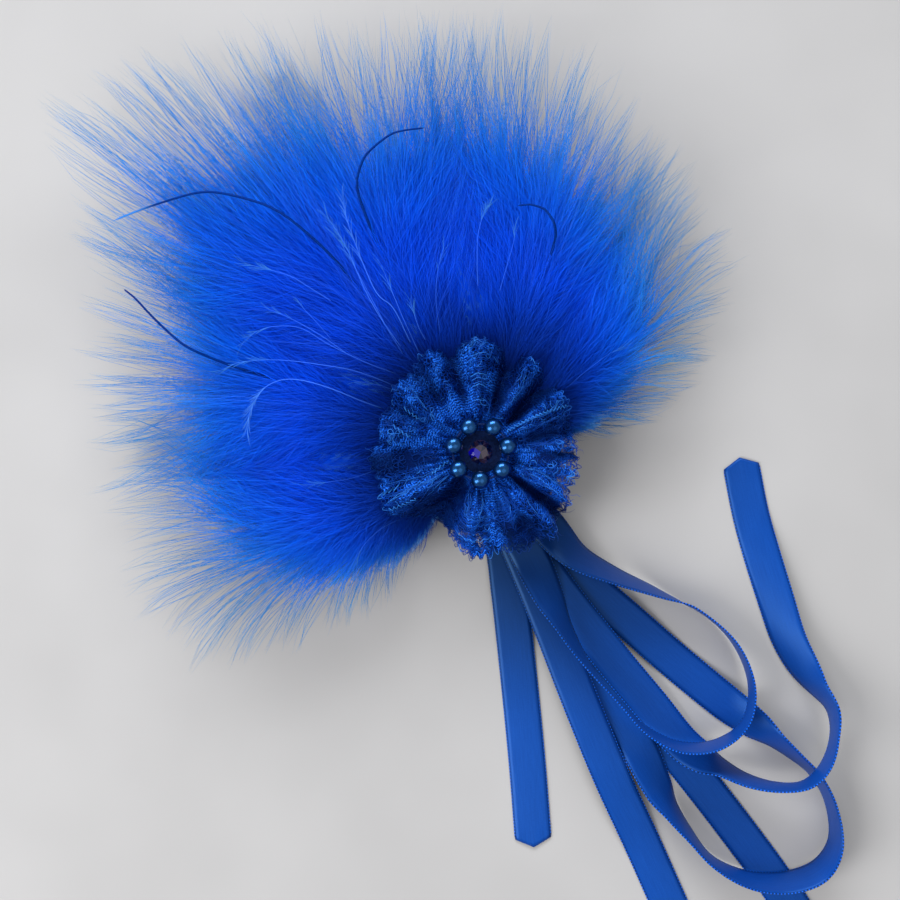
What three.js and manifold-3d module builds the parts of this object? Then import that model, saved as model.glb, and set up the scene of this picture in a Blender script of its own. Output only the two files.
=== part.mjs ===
// A feather fascinator lying on a table: a fan of marabou plumes, a gathered lace rosette with
// seven pearls round a dark cut stone, satin ribbon tails and loops, and a clip underneath.
// Millimetres, +Z up. The origin is on the table, under the middle of the rosette. +Y runs
// towards the plume tips and +X towards the ribbons' side.
import * as THREE from "three";
import { mergeVertices } from "three/addons/utils/BufferGeometryUtils.js";
import Module from "manifold-3d";

const wasm = await Module();
wasm.setup();

// Driving dimensions
const gap = 0.3;

const ribbonWidth = 12;
const ribbonWall = 1;
const ribbonSpread = 100;
const ribbonStep = 7.5;
const ribbonPoint = 3;
const ribbonLayers = 8;
const ribbonRootShare = 0.72;

const clipLength = 46;
const clipWidth = 9;
const clipWall = 1.4;
const clipMouth = 0.8;
const clipPadEnd = 8;

const feltRadius = 27;
const feltWall = 2;
const feltSides = 24;

const quillWidth = 1.4;
const quillTipWidth = 0.7;
const quillSides = 5;
const quillSteps = 9;
const plumeLength = 150;
const fluffHeight = 33;
const quillStride = 0.02;
const downShare = 0.45;
const lockDepth = 4.8;
const lockSpread = 0.72;
const plumeSeam = 2.6;
const plumeSlit = 0.4;
const sliver = 0.02;
const strayTurn = 110;
const strayShare = 0.045;

const rosetteRadius = 34;
const laceWall = 1.2;
const laceRise = 8.5;
const pleatHeight = 3.2;
const gatherRadius = 7;
const seatShare = 0.8;
const laceSectors = 60;

const pearlWidth = 6;
const pearlCount = 7;
const pearlSides = 12;
const pearlBands = 7;
const pearlRingRadius = 9.1;
const pearlTurn = 12;
const threadWidth = 0.8;
const drillGap = 0.3;
const threadSides = 4;

const stoneWidth = 8;
const stoneTableShare = 0.58;
const stoneCrown = 1.9;
const stoneGirdle = 0.6;
const stoneBack = 1.9;
const stoneFacets = 10;

// Heights that follow from them
const layerPitch = ribbonWall + gap;
const feltBottom = ribbonLayers * layerPitch;
const feltTop = feltBottom + feltWall;
const clipHeight = feltBottom - gap;
const quillRootHeight = feltTop + gap + quillWidth / 2;
const seamHeight = quillRootHeight;
const laceBottom = quillRootHeight + quillWidth / 2 + gap;
const feltEdgeShare = 0.92;

const paint = (color, roughness, metalness = 0) =>
  new THREE.MeshStandardMaterial({ color, roughness, metalness, flatShading: true });
const looks = {
  feather: paint(0x1450d8, 0.9),
  lace: paint(0x1c46a8, 0.6),
  satin: paint(0x1450b4, 0.35),
  felt: paint(0x10306e, 0.95),
  steel: paint(0xb8bcc2, 0.35, 1),
  pearl: paint(0x1f6f9e, 0.2),
  stone: paint(0x0a0f30, 0.08),
  thread: paint(0x123a90, 0.7),
};

const fascinator = new THREE.Group();

function add(name, geometry, look, place = [0, 0, 0], turn = [0, 0, 0]) {
  const mesh = new THREE.Mesh(geometry, look);
  mesh.name = name;
  mesh.position.set(...place);
  mesh.rotation.set(...turn);
  fascinator.add(mesh);
  return mesh;
}

// Small helpers: angles in degrees, polar places, and straight-line reading of a table
const radians = THREE.MathUtils.degToRad;
const lerp = THREE.MathUtils.lerp;
const polar = (radius, angle, z) =>
  new THREE.Vector3(radius * Math.cos(radians(angle)), radius * Math.sin(radians(angle)), z);

// Straight-line reading of column `column` at `at` in rows sorted by column `by`.
function read(rows, by, column, at) {
  if (at <= rows[0][by]) return rows[0][column];
  for (let i = 1; i < rows.length; i++) {
    const [before, after] = [rows[i - 1], rows[i]];
    if (at <= after[by]) {
      const share = (at - before[by]) / (after[by] - before[by]);
      return lerp(before[column], after[column], share);
    }
  }
  return rows[rows.length - 1][column];
}

// A closed surface from shared corners and faces of three or four corners each.
function surface(corners, faces) {
  const index = [];
  for (const face of faces) {
    index.push(face[0], face[1], face[2]);
    if (face.length === 4) index.push(face[0], face[2], face[3]);
  }
  const geometry = new THREE.BufferGeometry().setFromPoints(corners);
  geometry.setIndex(index);
  geometry.computeVertexNormals();
  return geometry;
}

function toSolid(geometry, weld = 1e-4) {
  const bare = geometry.clone();
  bare.deleteAttribute("normal");
  bare.deleteAttribute("uv");
  const merged = mergeVertices(bare, weld);
  const vertProperties = new Float32Array(merged.attributes.position.array);
  const triVerts = new Uint32Array(merged.index.array);
  return new wasm.Manifold(new wasm.Mesh({ numProp: 3, vertProperties, triVerts }));
}

function fromSolid(solid) {
  const mesh = solid.getMesh();
  const geometry = new THREE.BufferGeometry();
  geometry.setAttribute("position", new THREE.BufferAttribute(mesh.vertProperties, 3));
  geometry.setIndex(new THREE.BufferAttribute(mesh.triVerts, 1));
  geometry.computeVertexNormals();
  return geometry;
}

// The outer skin alone of a solid made of many crossing pieces: corners that all but meet are
// welded, and the pockets shut in between the pieces are filled.
function outerSkin(solid) {
  const welded = toSolid(fromSolid(solid.simplify(sliver)), sliver / 2);
  return welded.decompose().sort((a, b) => b.volume() - a.volume())[0];
}

// A skin round a row of rings, each ring a list of as many corners, with flat ends.
function skin(rings) {
  const size = rings[0].length;
  const faces = [];
  for (let i = 1; i < rings.length; i++) {
    for (let j = 0; j < size; j++) {
      const next = (j + 1) % size;
      const low = (i - 1) * size;
      faces.push([low + j, low + next, low + size + next, low + size + j]);
    }
  }
  const last = (rings.length - 1) * size;
  for (let j = 1; j < size - 1; j++) {
    faces.push([0, j + 1, j]);
    faces.push([last, last + j, last + j + 1]);
  }
  return surface(rings.flat(), faces);
}

// Hair clip: one bent strip, flat below, with a spring bow behind and a level pad under the felt
function clipGeometry() {
  const half = clipLength / 2;
  const bow = clipHeight / 2;
  const inner = bow - clipWall;
  const outline = new THREE.Shape();
  outline.moveTo(half, 0);
  outline.lineTo(half, clipWall);
  outline.lineTo(-half + bow, clipWall);
  outline.absarc(-half + bow, bow, inner, -Math.PI / 2, Math.PI / 2, true);
  outline.lineTo(clipPadEnd, clipHeight - clipWall);
  outline.lineTo(half - clipWall, clipWall + clipMouth);
  outline.lineTo(half, clipWall + clipMouth);
  outline.lineTo(half, 2 * clipWall + clipMouth);
  outline.lineTo(clipPadEnd + clipWall, clipHeight);
  outline.lineTo(-half + bow, clipHeight);
  outline.absarc(-half + bow, bow, bow, Math.PI / 2, (3 * Math.PI) / 2, false);
  const geometry = new THREE.ExtrudeGeometry(outline, {
    depth: clipWidth,
    bevelEnabled: false,
    curveSegments: 5,
  });
  geometry.translate(0, 0, -clipWidth / 2);
  geometry.rotateX(Math.PI / 2);
  return geometry;
}
add("hair_clip", clipGeometry(), looks.steel);

const feltDisc = new THREE.CylinderGeometry(feltRadius, feltRadius, feltWall, feltSides);
add("felt_base", feltDisc, looks.felt, [0, 0, feltBottom + feltWall / 2], [Math.PI / 2, 0, 0]);

// Satin ribbons. A route's rows give x and y as shares of ribbonSpread, the layer that the
// strip lies on, a lift as a share of the ribbon's width, and the roll of its face in degrees.
// The root row is worked out from the felt, so its angle and layer stand apart.
const ribbons = [
  {
    name: "ribbon_tail_left",
    root: { angle: -79, layer: 1, roll: 0 },
    route: [
      { x: 0.079, y: -0.316, layer: 1, lift: 0, roll: 0 },
      { x: 0.1, y: -0.47, layer: 1, lift: 0, roll: 0 },
      { x: 0.13, y: -0.74, layer: 0, lift: 0, roll: 0 },
      { x: 0.16, y: -1.044, layer: 0, lift: 0, roll: 0 },
      { x: 0.181, y: -1.309, layer: 0, lift: 0, roll: 0 },
    ],
  },
  {
    name: "ribbon_tail_middle",
    root: { angle: -70, layer: 3, roll: 0 },
    route: [
      { x: 0.137, y: -0.332, layer: 3, lift: 0, roll: 0 },
      { x: 0.235, y: -0.57, layer: 3, lift: 0, roll: 0 },
      { x: 0.34, y: -0.841, layer: 3.1, lift: 0, roll: 0 },
      { x: 0.44, y: -1.085, layer: 2.7, lift: 0, roll: 0 },
      { x: 0.554, y: -1.332, layer: 0, lift: 0, roll: 0 },
      { x: 0.676, y: -1.607, layer: 0, lift: 0, roll: 0 },
    ],
  },
  {
    name: "ribbon_tail_right",
    root: { angle: -60, layer: 0, roll: 0 },
    route: [
      { x: 0.181, y: -0.366, layer: 0, lift: 0, roll: 0 },
      { x: 0.323, y: -0.57, layer: 0, lift: 0, roll: 0 },
      { x: 0.523, y: -0.841, layer: 0, lift: 0, roll: 0 },
      { x: 0.742, y: -1.112, layer: 0, lift: 0, roll: 0 },
      { x: 0.977, y: -1.421, layer: 0, lift: 0, roll: 0 },
      { x: 1.099, y: -1.6, layer: 0, lift: 0, roll: 0 },
    ],
  },
  {
    name: "ribbon_loop_small",
    root: { angle: -48, layer: 6, roll: 180 },
    rootEnd: { angle: -67, layer: 7, roll: 0 },
    route: [
      { x: 0.217, y: -0.241, layer: 6, lift: 0, roll: 178 },
      { x: 0.318, y: -0.346, layer: 5, lift: 0, roll: 135 },
      { x: 0.445, y: -0.411, layer: 3.2, lift: 0, roll: 115 },
      { x: 0.593, y: -0.471, layer: 0.8, lift: 0, roll: 101 },
      { x: 0.74, y: -0.536, layer: 0, lift: 0, roll: 79 },
      { x: 0.857, y: -0.646, layer: 0, lift: 0.1, roll: 74 },
      { x: 0.904, y: -0.783, layer: 0, lift: 0.45, roll: 76 },
      { x: 0.879, y: -0.903, layer: 0.2, lift: 0.5, roll: 77 },
      { x: 0.786, y: -0.974, layer: 1.2, lift: 0.33, roll: 70 },
      { x: 0.664, y: -0.98, layer: 2.4, lift: 0.25, roll: 67 },
      { x: 0.551, y: -0.924, layer: 2.4, lift: 0.2, roll: 70 },
      { x: 0.453, y: -0.823, layer: 3.6, lift: 0.17, roll: 78 },
      { x: 0.374, y: -0.73, layer: 4.9, lift: 0, roll: 71 },
      { x: 0.305, y: -0.628, layer: 5.4, lift: 0, roll: 57 },
      { x: 0.236, y: -0.496, layer: 6.2, lift: 0, roll: 40 },
      { x: 0.173, y: -0.361, layer: 7, lift: 0, roll: 4 },
    ],
  },
  {
    name: "ribbon_loop_large",
    root: { angle: -63, layer: 4, roll: 0 },
    rootEnd: { angle: -72, layer: 2, roll: 0 },
    route: [
      { x: 0.188, y: -0.296, layer: 4, lift: 0, roll: 0 },
      { x: 0.303, y: -0.397, layer: 4, lift: 0, roll: 0 },
      { x: 0.508, y: -0.575, layer: 1.2, lift: 0, roll: 0 },
      { x: 0.662, y: -0.709, layer: 0, lift: 0, roll: 0 },
      { x: 0.832, y: -0.848, layer: 0, lift: 0, roll: 8 },
      { x: 0.95, y: -0.936, layer: 0, lift: 0, roll: 42 },
      { x: 1.052, y: -1.016, layer: 0, lift: 0, roll: 60 },
      { x: 1.126, y: -1.085, layer: 0, lift: 0, roll: 67 },
      { x: 1.177, y: -1.18, layer: 0, lift: 0, roll: 70 },
      { x: 1.192, y: -1.315, layer: 0.3, lift: 0, roll: 66 },
      { x: 1.141, y: -1.401, layer: 0.9, lift: 0, roll: 53 },
      { x: 1.036, y: -1.441, layer: 1.1, lift: 0, roll: 53 },
      { x: 0.904, y: -1.434, layer: 1.1, lift: 0, roll: 60 },
      { x: 0.782, y: -1.375, layer: 0.4, lift: 0, roll: 70 },
      { x: 0.706, y: -1.288, layer: 0, lift: 0, roll: 64 },
      { x: 0.621, y: -1.169, layer: 0.6, lift: 0, roll: 45 },
      { x: 0.534, y: -0.991, layer: 1, lift: 0, roll: 5 },
      { x: 0.4, y: -0.751, layer: 1.1, lift: 0, roll: 0 },
      { x: 0.244, y: -0.493, layer: 1.8, lift: 0, roll: 0 },
      { x: 0.156, y: -0.314, layer: 2, lift: 0, roll: 0 },
    ],
  },
  {
    name: "ribbon_long_tail",
    root: { angle: -66, layer: 5, roll: 0 },
    route: [
      { x: 0.168, y: -0.312, layer: 5, lift: 0, roll: 0 },
      { x: 0.241, y: -0.43, layer: 5.3, lift: 0, roll: 0 },
      { x: 0.425, y: -0.671, layer: 3.6, lift: 0, roll: 0 },
      { x: 0.574, y: -0.851, layer: 2.1, lift: 0, roll: -2 },
      { x: 0.697, y: -0.994, layer: 1.3, lift: 0, roll: -18 },
      { x: 0.794, y: -1.047, layer: 1, lift: 0.1, roll: -53 },
      { x: 0.891, y: -1.093, layer: 0.3, lift: 0.36, roll: -64 },
      { x: 0.986, y: -1.109, layer: 0.2, lift: 0.66, roll: -72 },
      { x: 1.07, y: -1.096, layer: 0.2, lift: 0.97, roll: -77 },
      { x: 1.132, y: -1.041, layer: 0.2, lift: 0.99, roll: -84 },
      { x: 1.172, y: -0.958, layer: 0, lift: 0.6, roll: -78 },
      { x: 1.178, y: -0.864, layer: 0, lift: 0.25, roll: -71 },
      { x: 1.119, y: -0.773, layer: 0, lift: 0.03, roll: -62 },
      { x: 1.045, y: -0.638, layer: 0, lift: 0, roll: -22 },
      { x: 1.001, y: -0.502, layer: 0, lift: 0, roll: 0 },
      { x: 0.923, y: -0.231, layer: 0, lift: 0, roll: 0 },
      { x: 0.886, y: -0.048, layer: 0, lift: 0, roll: 0 },
    ],
  },
];

// A root under the felt: its place is on the felt's own circle, at the angle given.
function rootRow(root) {
  const place = polar(feltRadius * ribbonRootShare, root.angle, 0);
  return { x: place.x, y: place.y, layer: root.layer, lift: 0, roll: root.roll };
}

// The strip's cross-sections: a smooth curve through the rows, its face rolled about the run,
// and its lower edge at the height of the layer and lift.
function ribbonRings(ribbon) {
  const rows = [rootRow(ribbon.root)];
  for (const row of ribbon.route) {
    rows.push({ ...row, x: row.x * ribbonSpread, y: row.y * ribbonSpread });
  }
  if (ribbon.rootEnd) rows.push(rootRow(ribbon.rootEnd));
  const run = new THREE.CatmullRomCurve3(rows.map((row) => new THREE.Vector3(row.x, row.y, 0)));
  const steps = Math.ceil(run.getLength() / ribbonStep);
  const up = new THREE.Vector3(0, 0, 1);
  const rings = [];
  for (let i = 0; i <= steps; i++) {
    const share = run.getUtoTmapping(i / steps);
    const place = run.getPoint(share);
    const ahead = run.getTangent(share);
    const at = share * (rows.length - 1);
    const from = Math.min(Math.floor(at), rows.length - 2);
    const between = (column) => lerp(rows[from][column], rows[from + 1][column], at - from);
    const roll = between("roll");
    const side = up.clone().cross(ahead).normalize();
    const across = side.clone().multiplyScalar(Math.cos(radians(roll)));
    across.addScaledVector(up, Math.sin(radians(roll)));
    const face = ahead.clone().cross(across).normalize();
    const halfWidth = ribbonWidth / 2;
    const halfWall = ribbonWall / 2;
    const reachDown = halfWidth * Math.abs(across.z) + halfWall * Math.abs(face.z);
    place.z = between("layer") * layerPitch + between("lift") * ribbonWidth + reachDown;
    const corner = (width, wall) =>
      place.clone().addScaledVector(across, width * halfWidth).addScaledVector(face, wall * halfWall);
    rings.push([corner(1, 1), corner(-1, 1), corner(-1, -1), corner(1, -1)]);
  }
  return { rings, end: run.getTangent(1) };
}

// A ribbon's solid: its rings, a square root, and a shallow pointed cut at a free end.
function ribbonGeometry(ribbon) {
  const { rings, end } = ribbonRings(ribbon);
  const corners = rings.flat();
  const faces = [];
  for (let i = 0; i + 4 < corners.length; i += 4) {
    for (let j = 0; j < 4; j++) {
      const next = (j + 1) % 4;
      faces.push([i + j, i + next, i + 4 + next, i + 4 + j]);
    }
  }
  faces.push([3, 2, 1, 0]);
  const last = corners.length - 4;
  if (ribbon.rootEnd) {
    faces.push([last, last + 1, last + 2, last + 3]);
  } else {
    const apex = (a, b) =>
      corners[a].clone().add(corners[b]).multiplyScalar(0.5).addScaledVector(end, ribbonPoint);
    corners.push(apex(last, last + 1), apex(last + 2, last + 3));
    const [top, bottom] = [last + 4, last + 5];
    faces.push([last, last + 1, top]);
    faces.push([last + 2, last + 3, bottom]);
    faces.push([last + 1, last + 2, bottom, top]);
    faces.push([last + 3, last, top, bottom]);
  }
  return surface(corners, faces);
}

for (const ribbon of ribbons) {
  add(ribbon.name, ribbonGeometry(ribbon), looks.satin);
}

// Outline of the whole fan, seen from above: how far the down reaches at each angle, as a
// share of the plume length. Angles run anticlockwise from +X.
const fanOutline = [
  { angle: 6, reach: 0.32 },
  { angle: 14, reach: 0.44 },
  { angle: 20, reach: 0.53 },
  { angle: 28, reach: 0.6 },
  { angle: 36, reach: 0.7 },
  { angle: 52, reach: 0.76 },
  { angle: 60, reach: 0.8 },
  { angle: 71, reach: 0.88 },
  { angle: 94, reach: 0.96 },
  { angle: 112, reach: 0.99 },
  { angle: 120, reach: 1.06 },
  { angle: 142, reach: 1.18 },
  { angle: 150, reach: 1.0 },
  { angle: 158, reach: 0.92 },
  { angle: 180, reach: 0.82 },
  { angle: 198, reach: 0.84 },
  { angle: 218, reach: 0.76 },
  { angle: 226, reach: 0.6 },
  { angle: 238, reach: 0.42 },
];

// Each plume fills its own slice of the fan, from one angle to another. Its quill's rows give
// the angle and the reach as a share of the plume length; the last ones draw its curled tip.
const plumes = [
  {
    name: "plume_low_1",
    upper: false,
    slice: { from: 6, to: 62 },
    quill: [
      { angle: 22, reach: 0.09 },
      { angle: 28, reach: 0.2 },
      { angle: 35, reach: 0.4 },
    ],
  },
  {
    name: "plume_low_2",
    upper: false,
    slice: { from: 62, to: 118 },
    quill: [
      { angle: 93, reach: 0.09 },
      { angle: 91, reach: 0.3 },
      { angle: 90, reach: 0.6 },
    ],
  },
  {
    name: "plume_low_3",
    upper: false,
    slice: { from: 118, to: 177 },
    quill: [
      { angle: 141, reach: 0.09 },
      { angle: 145, reach: 0.3 },
      { angle: 147, reach: 0.7 },
    ],
  },
  {
    name: "plume_low_4",
    upper: false,
    slice: { from: 177, to: 238 },
    quill: [
      { angle: 190, reach: 0.09 },
      { angle: 203, reach: 0.25 },
      { angle: 207, reach: 0.5 },
    ],
  },
  {
    name: "plume_right",
    upper: true,
    slice: { from: 12, to: 56 },
    quill: [
      { angle: 38, reach: 0.09 },
      { angle: 37, reach: 0.25 },
      { angle: 35, reach: 0.45 },
    ],
  },
  {
    name: "plume_hooked",
    upper: true,
    slice: { from: 56, to: 93 },
    quill: [
      { angle: 71, reach: 0.09 },
      { angle: 71, reach: 0.25 },
      { angle: 70.5, reach: 0.485 },
      { angle: 72.4, reach: 0.515 },
      { angle: 75.3, reach: 0.537 },
      { angle: 78.7, reach: 0.54 },
      { angle: 81.6, reach: 0.532 },
    ],
  },
  {
    name: "plume_top",
    upper: true,
    slice: { from: 93, to: 122 },
    quill: [
      { angle: 112, reach: 0.09 },
      { angle: 116.5, reach: 0.29 },
      { angle: 116.5, reach: 0.51 },
      { angle: 115.5, reach: 0.63 },
      { angle: 111.7, reach: 0.68 },
      { angle: 108.3, reach: 0.697 },
      { angle: 105.2, reach: 0.709 },
      { angle: 99.8, reach: 0.703 },
    ],
  },
  {
    name: "plume_top_left",
    upper: true,
    slice: { from: 122, to: 152 },
    quill: [
      { angle: 125, reach: 0.09 },
      { angle: 126.5, reach: 0.29 },
      { angle: 127, reach: 0.52 },
      { angle: 130, reach: 0.68 },
      { angle: 136.3, reach: 0.81 },
      { angle: 142.4, reach: 0.87 },
      { angle: 148, reach: 0.93 },
    ],
  },
  {
    name: "plume_left",
    upper: true,
    slice: { from: 152, to: 184 },
    quill: [
      { angle: 158, reach: 0.09 },
      { angle: 160, reach: 0.3 },
      { angle: 161, reach: 0.58 },
      { angle: 160.5, reach: 0.67 },
      { angle: 158, reach: 0.75 },
      { angle: 156, reach: 0.81 },
      { angle: 155.5, reach: 0.84 },
    ],
  },
  {
    name: "plume_lower_left",
    upper: true,
    slice: { from: 184, to: 237 },
    quill: [
      { angle: 211, reach: 0.09 },
      { angle: 210, reach: 0.25 },
      { angle: 207, reach: 0.48 },
    ],
  },
];

// How a lock of down widens, thickens and comes to a point along its run.
const lockSections = [
  { along: 0, spread: 0.35, depth: 0.2 },
  { along: 0.38, spread: 1, depth: 1 },
  { along: 0.74, spread: 0.8, depth: 0.75 },
];

// Locks of each plume in two ranks: count, where on the quill the rank's outermost and
// innermost locks leave, how far they reach towards the outline, and their heights as shares
// of the storey they lie in, at the quill, at the middle and at the tip.
const ranks = {
  lower: [
    { locks: 8, leaves: [0.05, 0.9], reach: [1, 0.86], rise: [0.5, 0.47, 0.35] },
  ],
  upper: [
    { locks: 5, leaves: [0.1, 1], reach: [1, 0.86], rise: [0.3, 0.27, 0.22] },
    { locks: 3, leaves: [0.2, 0.8], reach: [0.8, 0.72], rise: [0.4, 0.72, 0.6] },
  ],
};

// Where a plume's quill lies. It rests on the felt, then sinks or rises to its own storey.
function quillPoint(plume, share) {
  const rows = plume.quill;
  const at = share * (rows.length - 1);
  const from = Math.min(Math.floor(at), rows.length - 2);
  const [before, after] = [rows[from], rows[from + 1]];
  const reach = lerp(before.reach, after.reach, at - from) * plumeLength;
  const angle = lerp(before.angle, after.angle, at - from);
  return { radius: reach, angle, z: storeyHeight(plume, reach, quillStorey) };
}

// The storey of the lower plumes runs from the table to the seam, and that of the upper ones
// from the seam to the top of the fluff. Next to the felt both close up to the seam.
const quillStorey = 0.5;
const openRadius = rosetteRadius * 1.5;
function storeyHeight(plume, radius, share) {
  const room = THREE.MathUtils.smoothstep(radius, feltRadius * feltEdgeShare, openRadius);
  const clear = gap + quillWidth / 2;
  if (plume.upper) return seamHeight + room * (clear + share * (fluffHeight - seamHeight - clear));
  return seamHeight - room * (clear + (1 - share) * (seamHeight - clear));
}

// Quill: a thin tapered rod along its rows.
function quillGeometry(plume) {
  const rings = [];
  for (let i = 0; i <= quillSteps; i++) {
    const share = i / quillSteps;
    const { radius, angle, z } = quillPoint(plume, share);
    const ahead = quillPoint(plume, Math.min(share + 0.01, 1));
    const behind = quillPoint(plume, Math.max(share - 0.01, 0));
    const run = polar(ahead.radius, ahead.angle, ahead.z);
    run.sub(polar(behind.radius, behind.angle, behind.z)).normalize();
    const side = new THREE.Vector3(0, 0, 1).cross(run).normalize();
    const top = run.clone().cross(side);
    const width = lerp(quillWidth, quillTipWidth, share) / 2;
    const centre = polar(radius, angle, z);
    const ring = [];
    for (let j = 0; j < quillSides; j++) {
      const turn = (j / quillSides) * 2 * Math.PI;
      const corner = centre.clone().addScaledVector(side, width * Math.cos(turn));
      ring.push(corner.addScaledVector(top, width * Math.sin(turn)));
    }
    rings.push(ring);
  }
  return skin(rings);
}

// Lock: a blade of diamond section from a place on the quill out to its tip, in polar steps,
// so that it stays inside its plume's slice of the fan.
function lockGeometry(plume, start, tip, spread, rise) {
  const rings = [];
  const at = (along) => {
    const radius = lerp(start.radius, tip.radius, along);
    const angle = lerp(start.angle, tip.angle, along ** 0.75);
    const share = read(
      [
        { along: 0, rise: rise[0] },
        { along: 0.5, rise: rise[1] },
        { along: 1, rise: rise[2] },
      ],
      "along",
      "rise",
      along,
    );
    return { radius, angle, z: storeyHeight(plume, radius, share) };
  };
  for (const section of lockSections) {
    const { radius, angle, z } = at(section.along);
    const room = THREE.MathUtils.smoothstep(radius, feltRadius * feltEdgeShare, openRadius);
    const depth = Math.max(lockDepth * section.depth * room, quillTipWidth);
    const turn = spread * section.spread;
    const left = Math.min(angle + turn, plume.slice.to - plumeSlit);
    const right = Math.max(angle - turn, plume.slice.from + plumeSlit);
    rings.push([
      polar(radius, left, z),
      polar(radius, angle, z + depth),
      polar(radius, right, z),
      polar(radius, angle, z - depth),
    ]);
  }
  const end = at(1);
  const corners = [...rings.flat(), polar(end.radius, end.angle, end.z)];
  const faces = [[3, 2, 1, 0]];
  for (let i = 0; i + 4 < corners.length - 1; i += 4) {
    for (let j = 0; j < 4; j++) {
      const next = (j + 1) % 4;
      faces.push([i + j, i + next, i + 4 + next, i + 4 + j]);
    }
  }
  const last = corners.length - 5;
  for (let j = 0; j < 4; j++) faces.push([last + j, last + ((j + 1) % 4), corners.length - 1]);
  return surface(corners, faces);
}

// The share of a quill at which it reaches a given radius.
function shareAt(plume, radius) {
  let share = 0;
  while (share < 1 && quillPoint(plume, share).radius < radius) share += quillStride;
  return Math.min(share, 1);
}

function plumeGeometry(plume) {
  let solid = toSolid(quillGeometry(plume));
  const { from, to } = plume.slice;
  const first = shareAt(plume, feltRadius + quillWidth);
  const last = shareAt(plume, downShare * plumeLength);
  for (const rank of plume.upper ? ranks.upper : ranks.lower) {
    const pitch = (to - from - 2 * plumeSeam) / (rank.locks - 1);
    for (let i = 0; i < rank.locks; i++) {
      const sideways = Math.abs((2 * i) / (rank.locks - 1) - 1);
      const stray = Math.sin(radians(strayTurn * (i + 1) + from));
      const leave = lerp(rank.leaves[1], rank.leaves[0], sideways) + strayShare * stray;
      const rise = rank.rise.map((share) => share + strayShare * stray);
      const start = quillPoint(plume, lerp(first, last, leave));
      const angle = from + plumeSeam + i * pitch;
      const outline = read(fanOutline, "angle", "reach", angle) * plumeLength;
      const tip = { radius: outline * rank.reach[i % 2], angle };
      const spread = pitch * lockSpread;
      solid = solid.add(toSolid(lockGeometry(plume, start, tip, spread, rise)));
    }
  }
  return fromSolid(outerSkin(solid));
}

for (const plume of plumes) {
  add(plume.name, plumeGeometry(plume), looks.feather);
}

// Lace rosette: pleats with named angles. The crest is a share of the pleat height, rim the
// reach of the edge as a share of the rosette radius, and dip and notch are those of the
// valley that follows.
const pleats = [
  { angle: -10, crest: 0.7, rim: 0.95, dip: -0.9, notch: 0.9 },
  { angle: 33, crest: 1, rim: 0.97, dip: -0.7, notch: 0.93 },
  { angle: 62, crest: 0.8, rim: 1.02, dip: -0.8, notch: 1 },
  { angle: 92, crest: 0.9, rim: 1.08, dip: -1, notch: 1.02 },
  { angle: 118, crest: 0.7, rim: 1.1, dip: -0.8, notch: 1.02 },
  { angle: 140, crest: 0.8, rim: 1.05, dip: -0.9, notch: 0.98 },
  { angle: 160, crest: 0.6, rim: 1.02, dip: -1, notch: 1 },
  { angle: 186, crest: 0.8, rim: 1.08, dip: -0.7, notch: 1.02 },
  { angle: 213, crest: 1, rim: 1.08, dip: -1, notch: 0.76 },
  { angle: 264, crest: 0.8, rim: 1.02, dip: -0.5, notch: 0.98 },
  { angle: 293, crest: 0.6, rim: 1.05, dip: -0.4, notch: 1 },
  { angle: 310, crest: 0.9, rim: 1.08, dip: -0.9, notch: 0.98 },
  { angle: 330, crest: 0.5, rim: 1, dip: -0.6, notch: 0.92 },
];

// Crests and valleys in one ring of rows, read with a cosine ease between neighbours.
const waves = pleats.flatMap((pleat, i) => {
  const next = i + 1 < pleats.length ? pleats[i + 1].angle : pleats[0].angle + 360;
  return [
    { angle: pleat.angle, height: pleat.crest, rim: pleat.rim },
    { angle: (pleat.angle + next) / 2, height: pleat.dip, rim: pleat.notch },
  ];
});
waves.push({ ...waves[0], angle: waves[0].angle + 360 });

function wave(angle) {
  const turned = waves[0].angle + THREE.MathUtils.euclideanModulo(angle - waves[0].angle, 360);
  const i = waves.findIndex((row) => turned < row.angle);
  const [before, after] = [waves[i - 1], waves[i]];
  const share = (turned - before.angle) / (after.angle - before.angle);
  const eased = (1 - Math.cos(share * Math.PI)) / 2;
  return {
    height: lerp(before.height, after.height, eased),
    rim: lerp(before.rim, after.rim, eased),
  };
}

// The lace from the gathered middle to the rim: the share of the way out, how far the wall has
// risen and how strong the pleats are.
const laceRings = [
  { out: 0, rise: 0, ruffle: 0 },
  { out: 0.1, rise: 0.3, ruffle: 0.05 },
  { out: 0.32, rise: 0.55, ruffle: 0.35 },
  { out: 0.66, rise: 0.85, ruffle: 0.8 },
  { out: 1, rise: 1, ruffle: 1 },
];
const laceSeat = feltTop + gap;

function laceHeight(ring, angle) {
  if (ring.out === 0) return laceBottom;
  return laceBottom + laceRise * ring.rise + pleatHeight * ring.ruffle * wave(angle).height;
}

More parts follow.
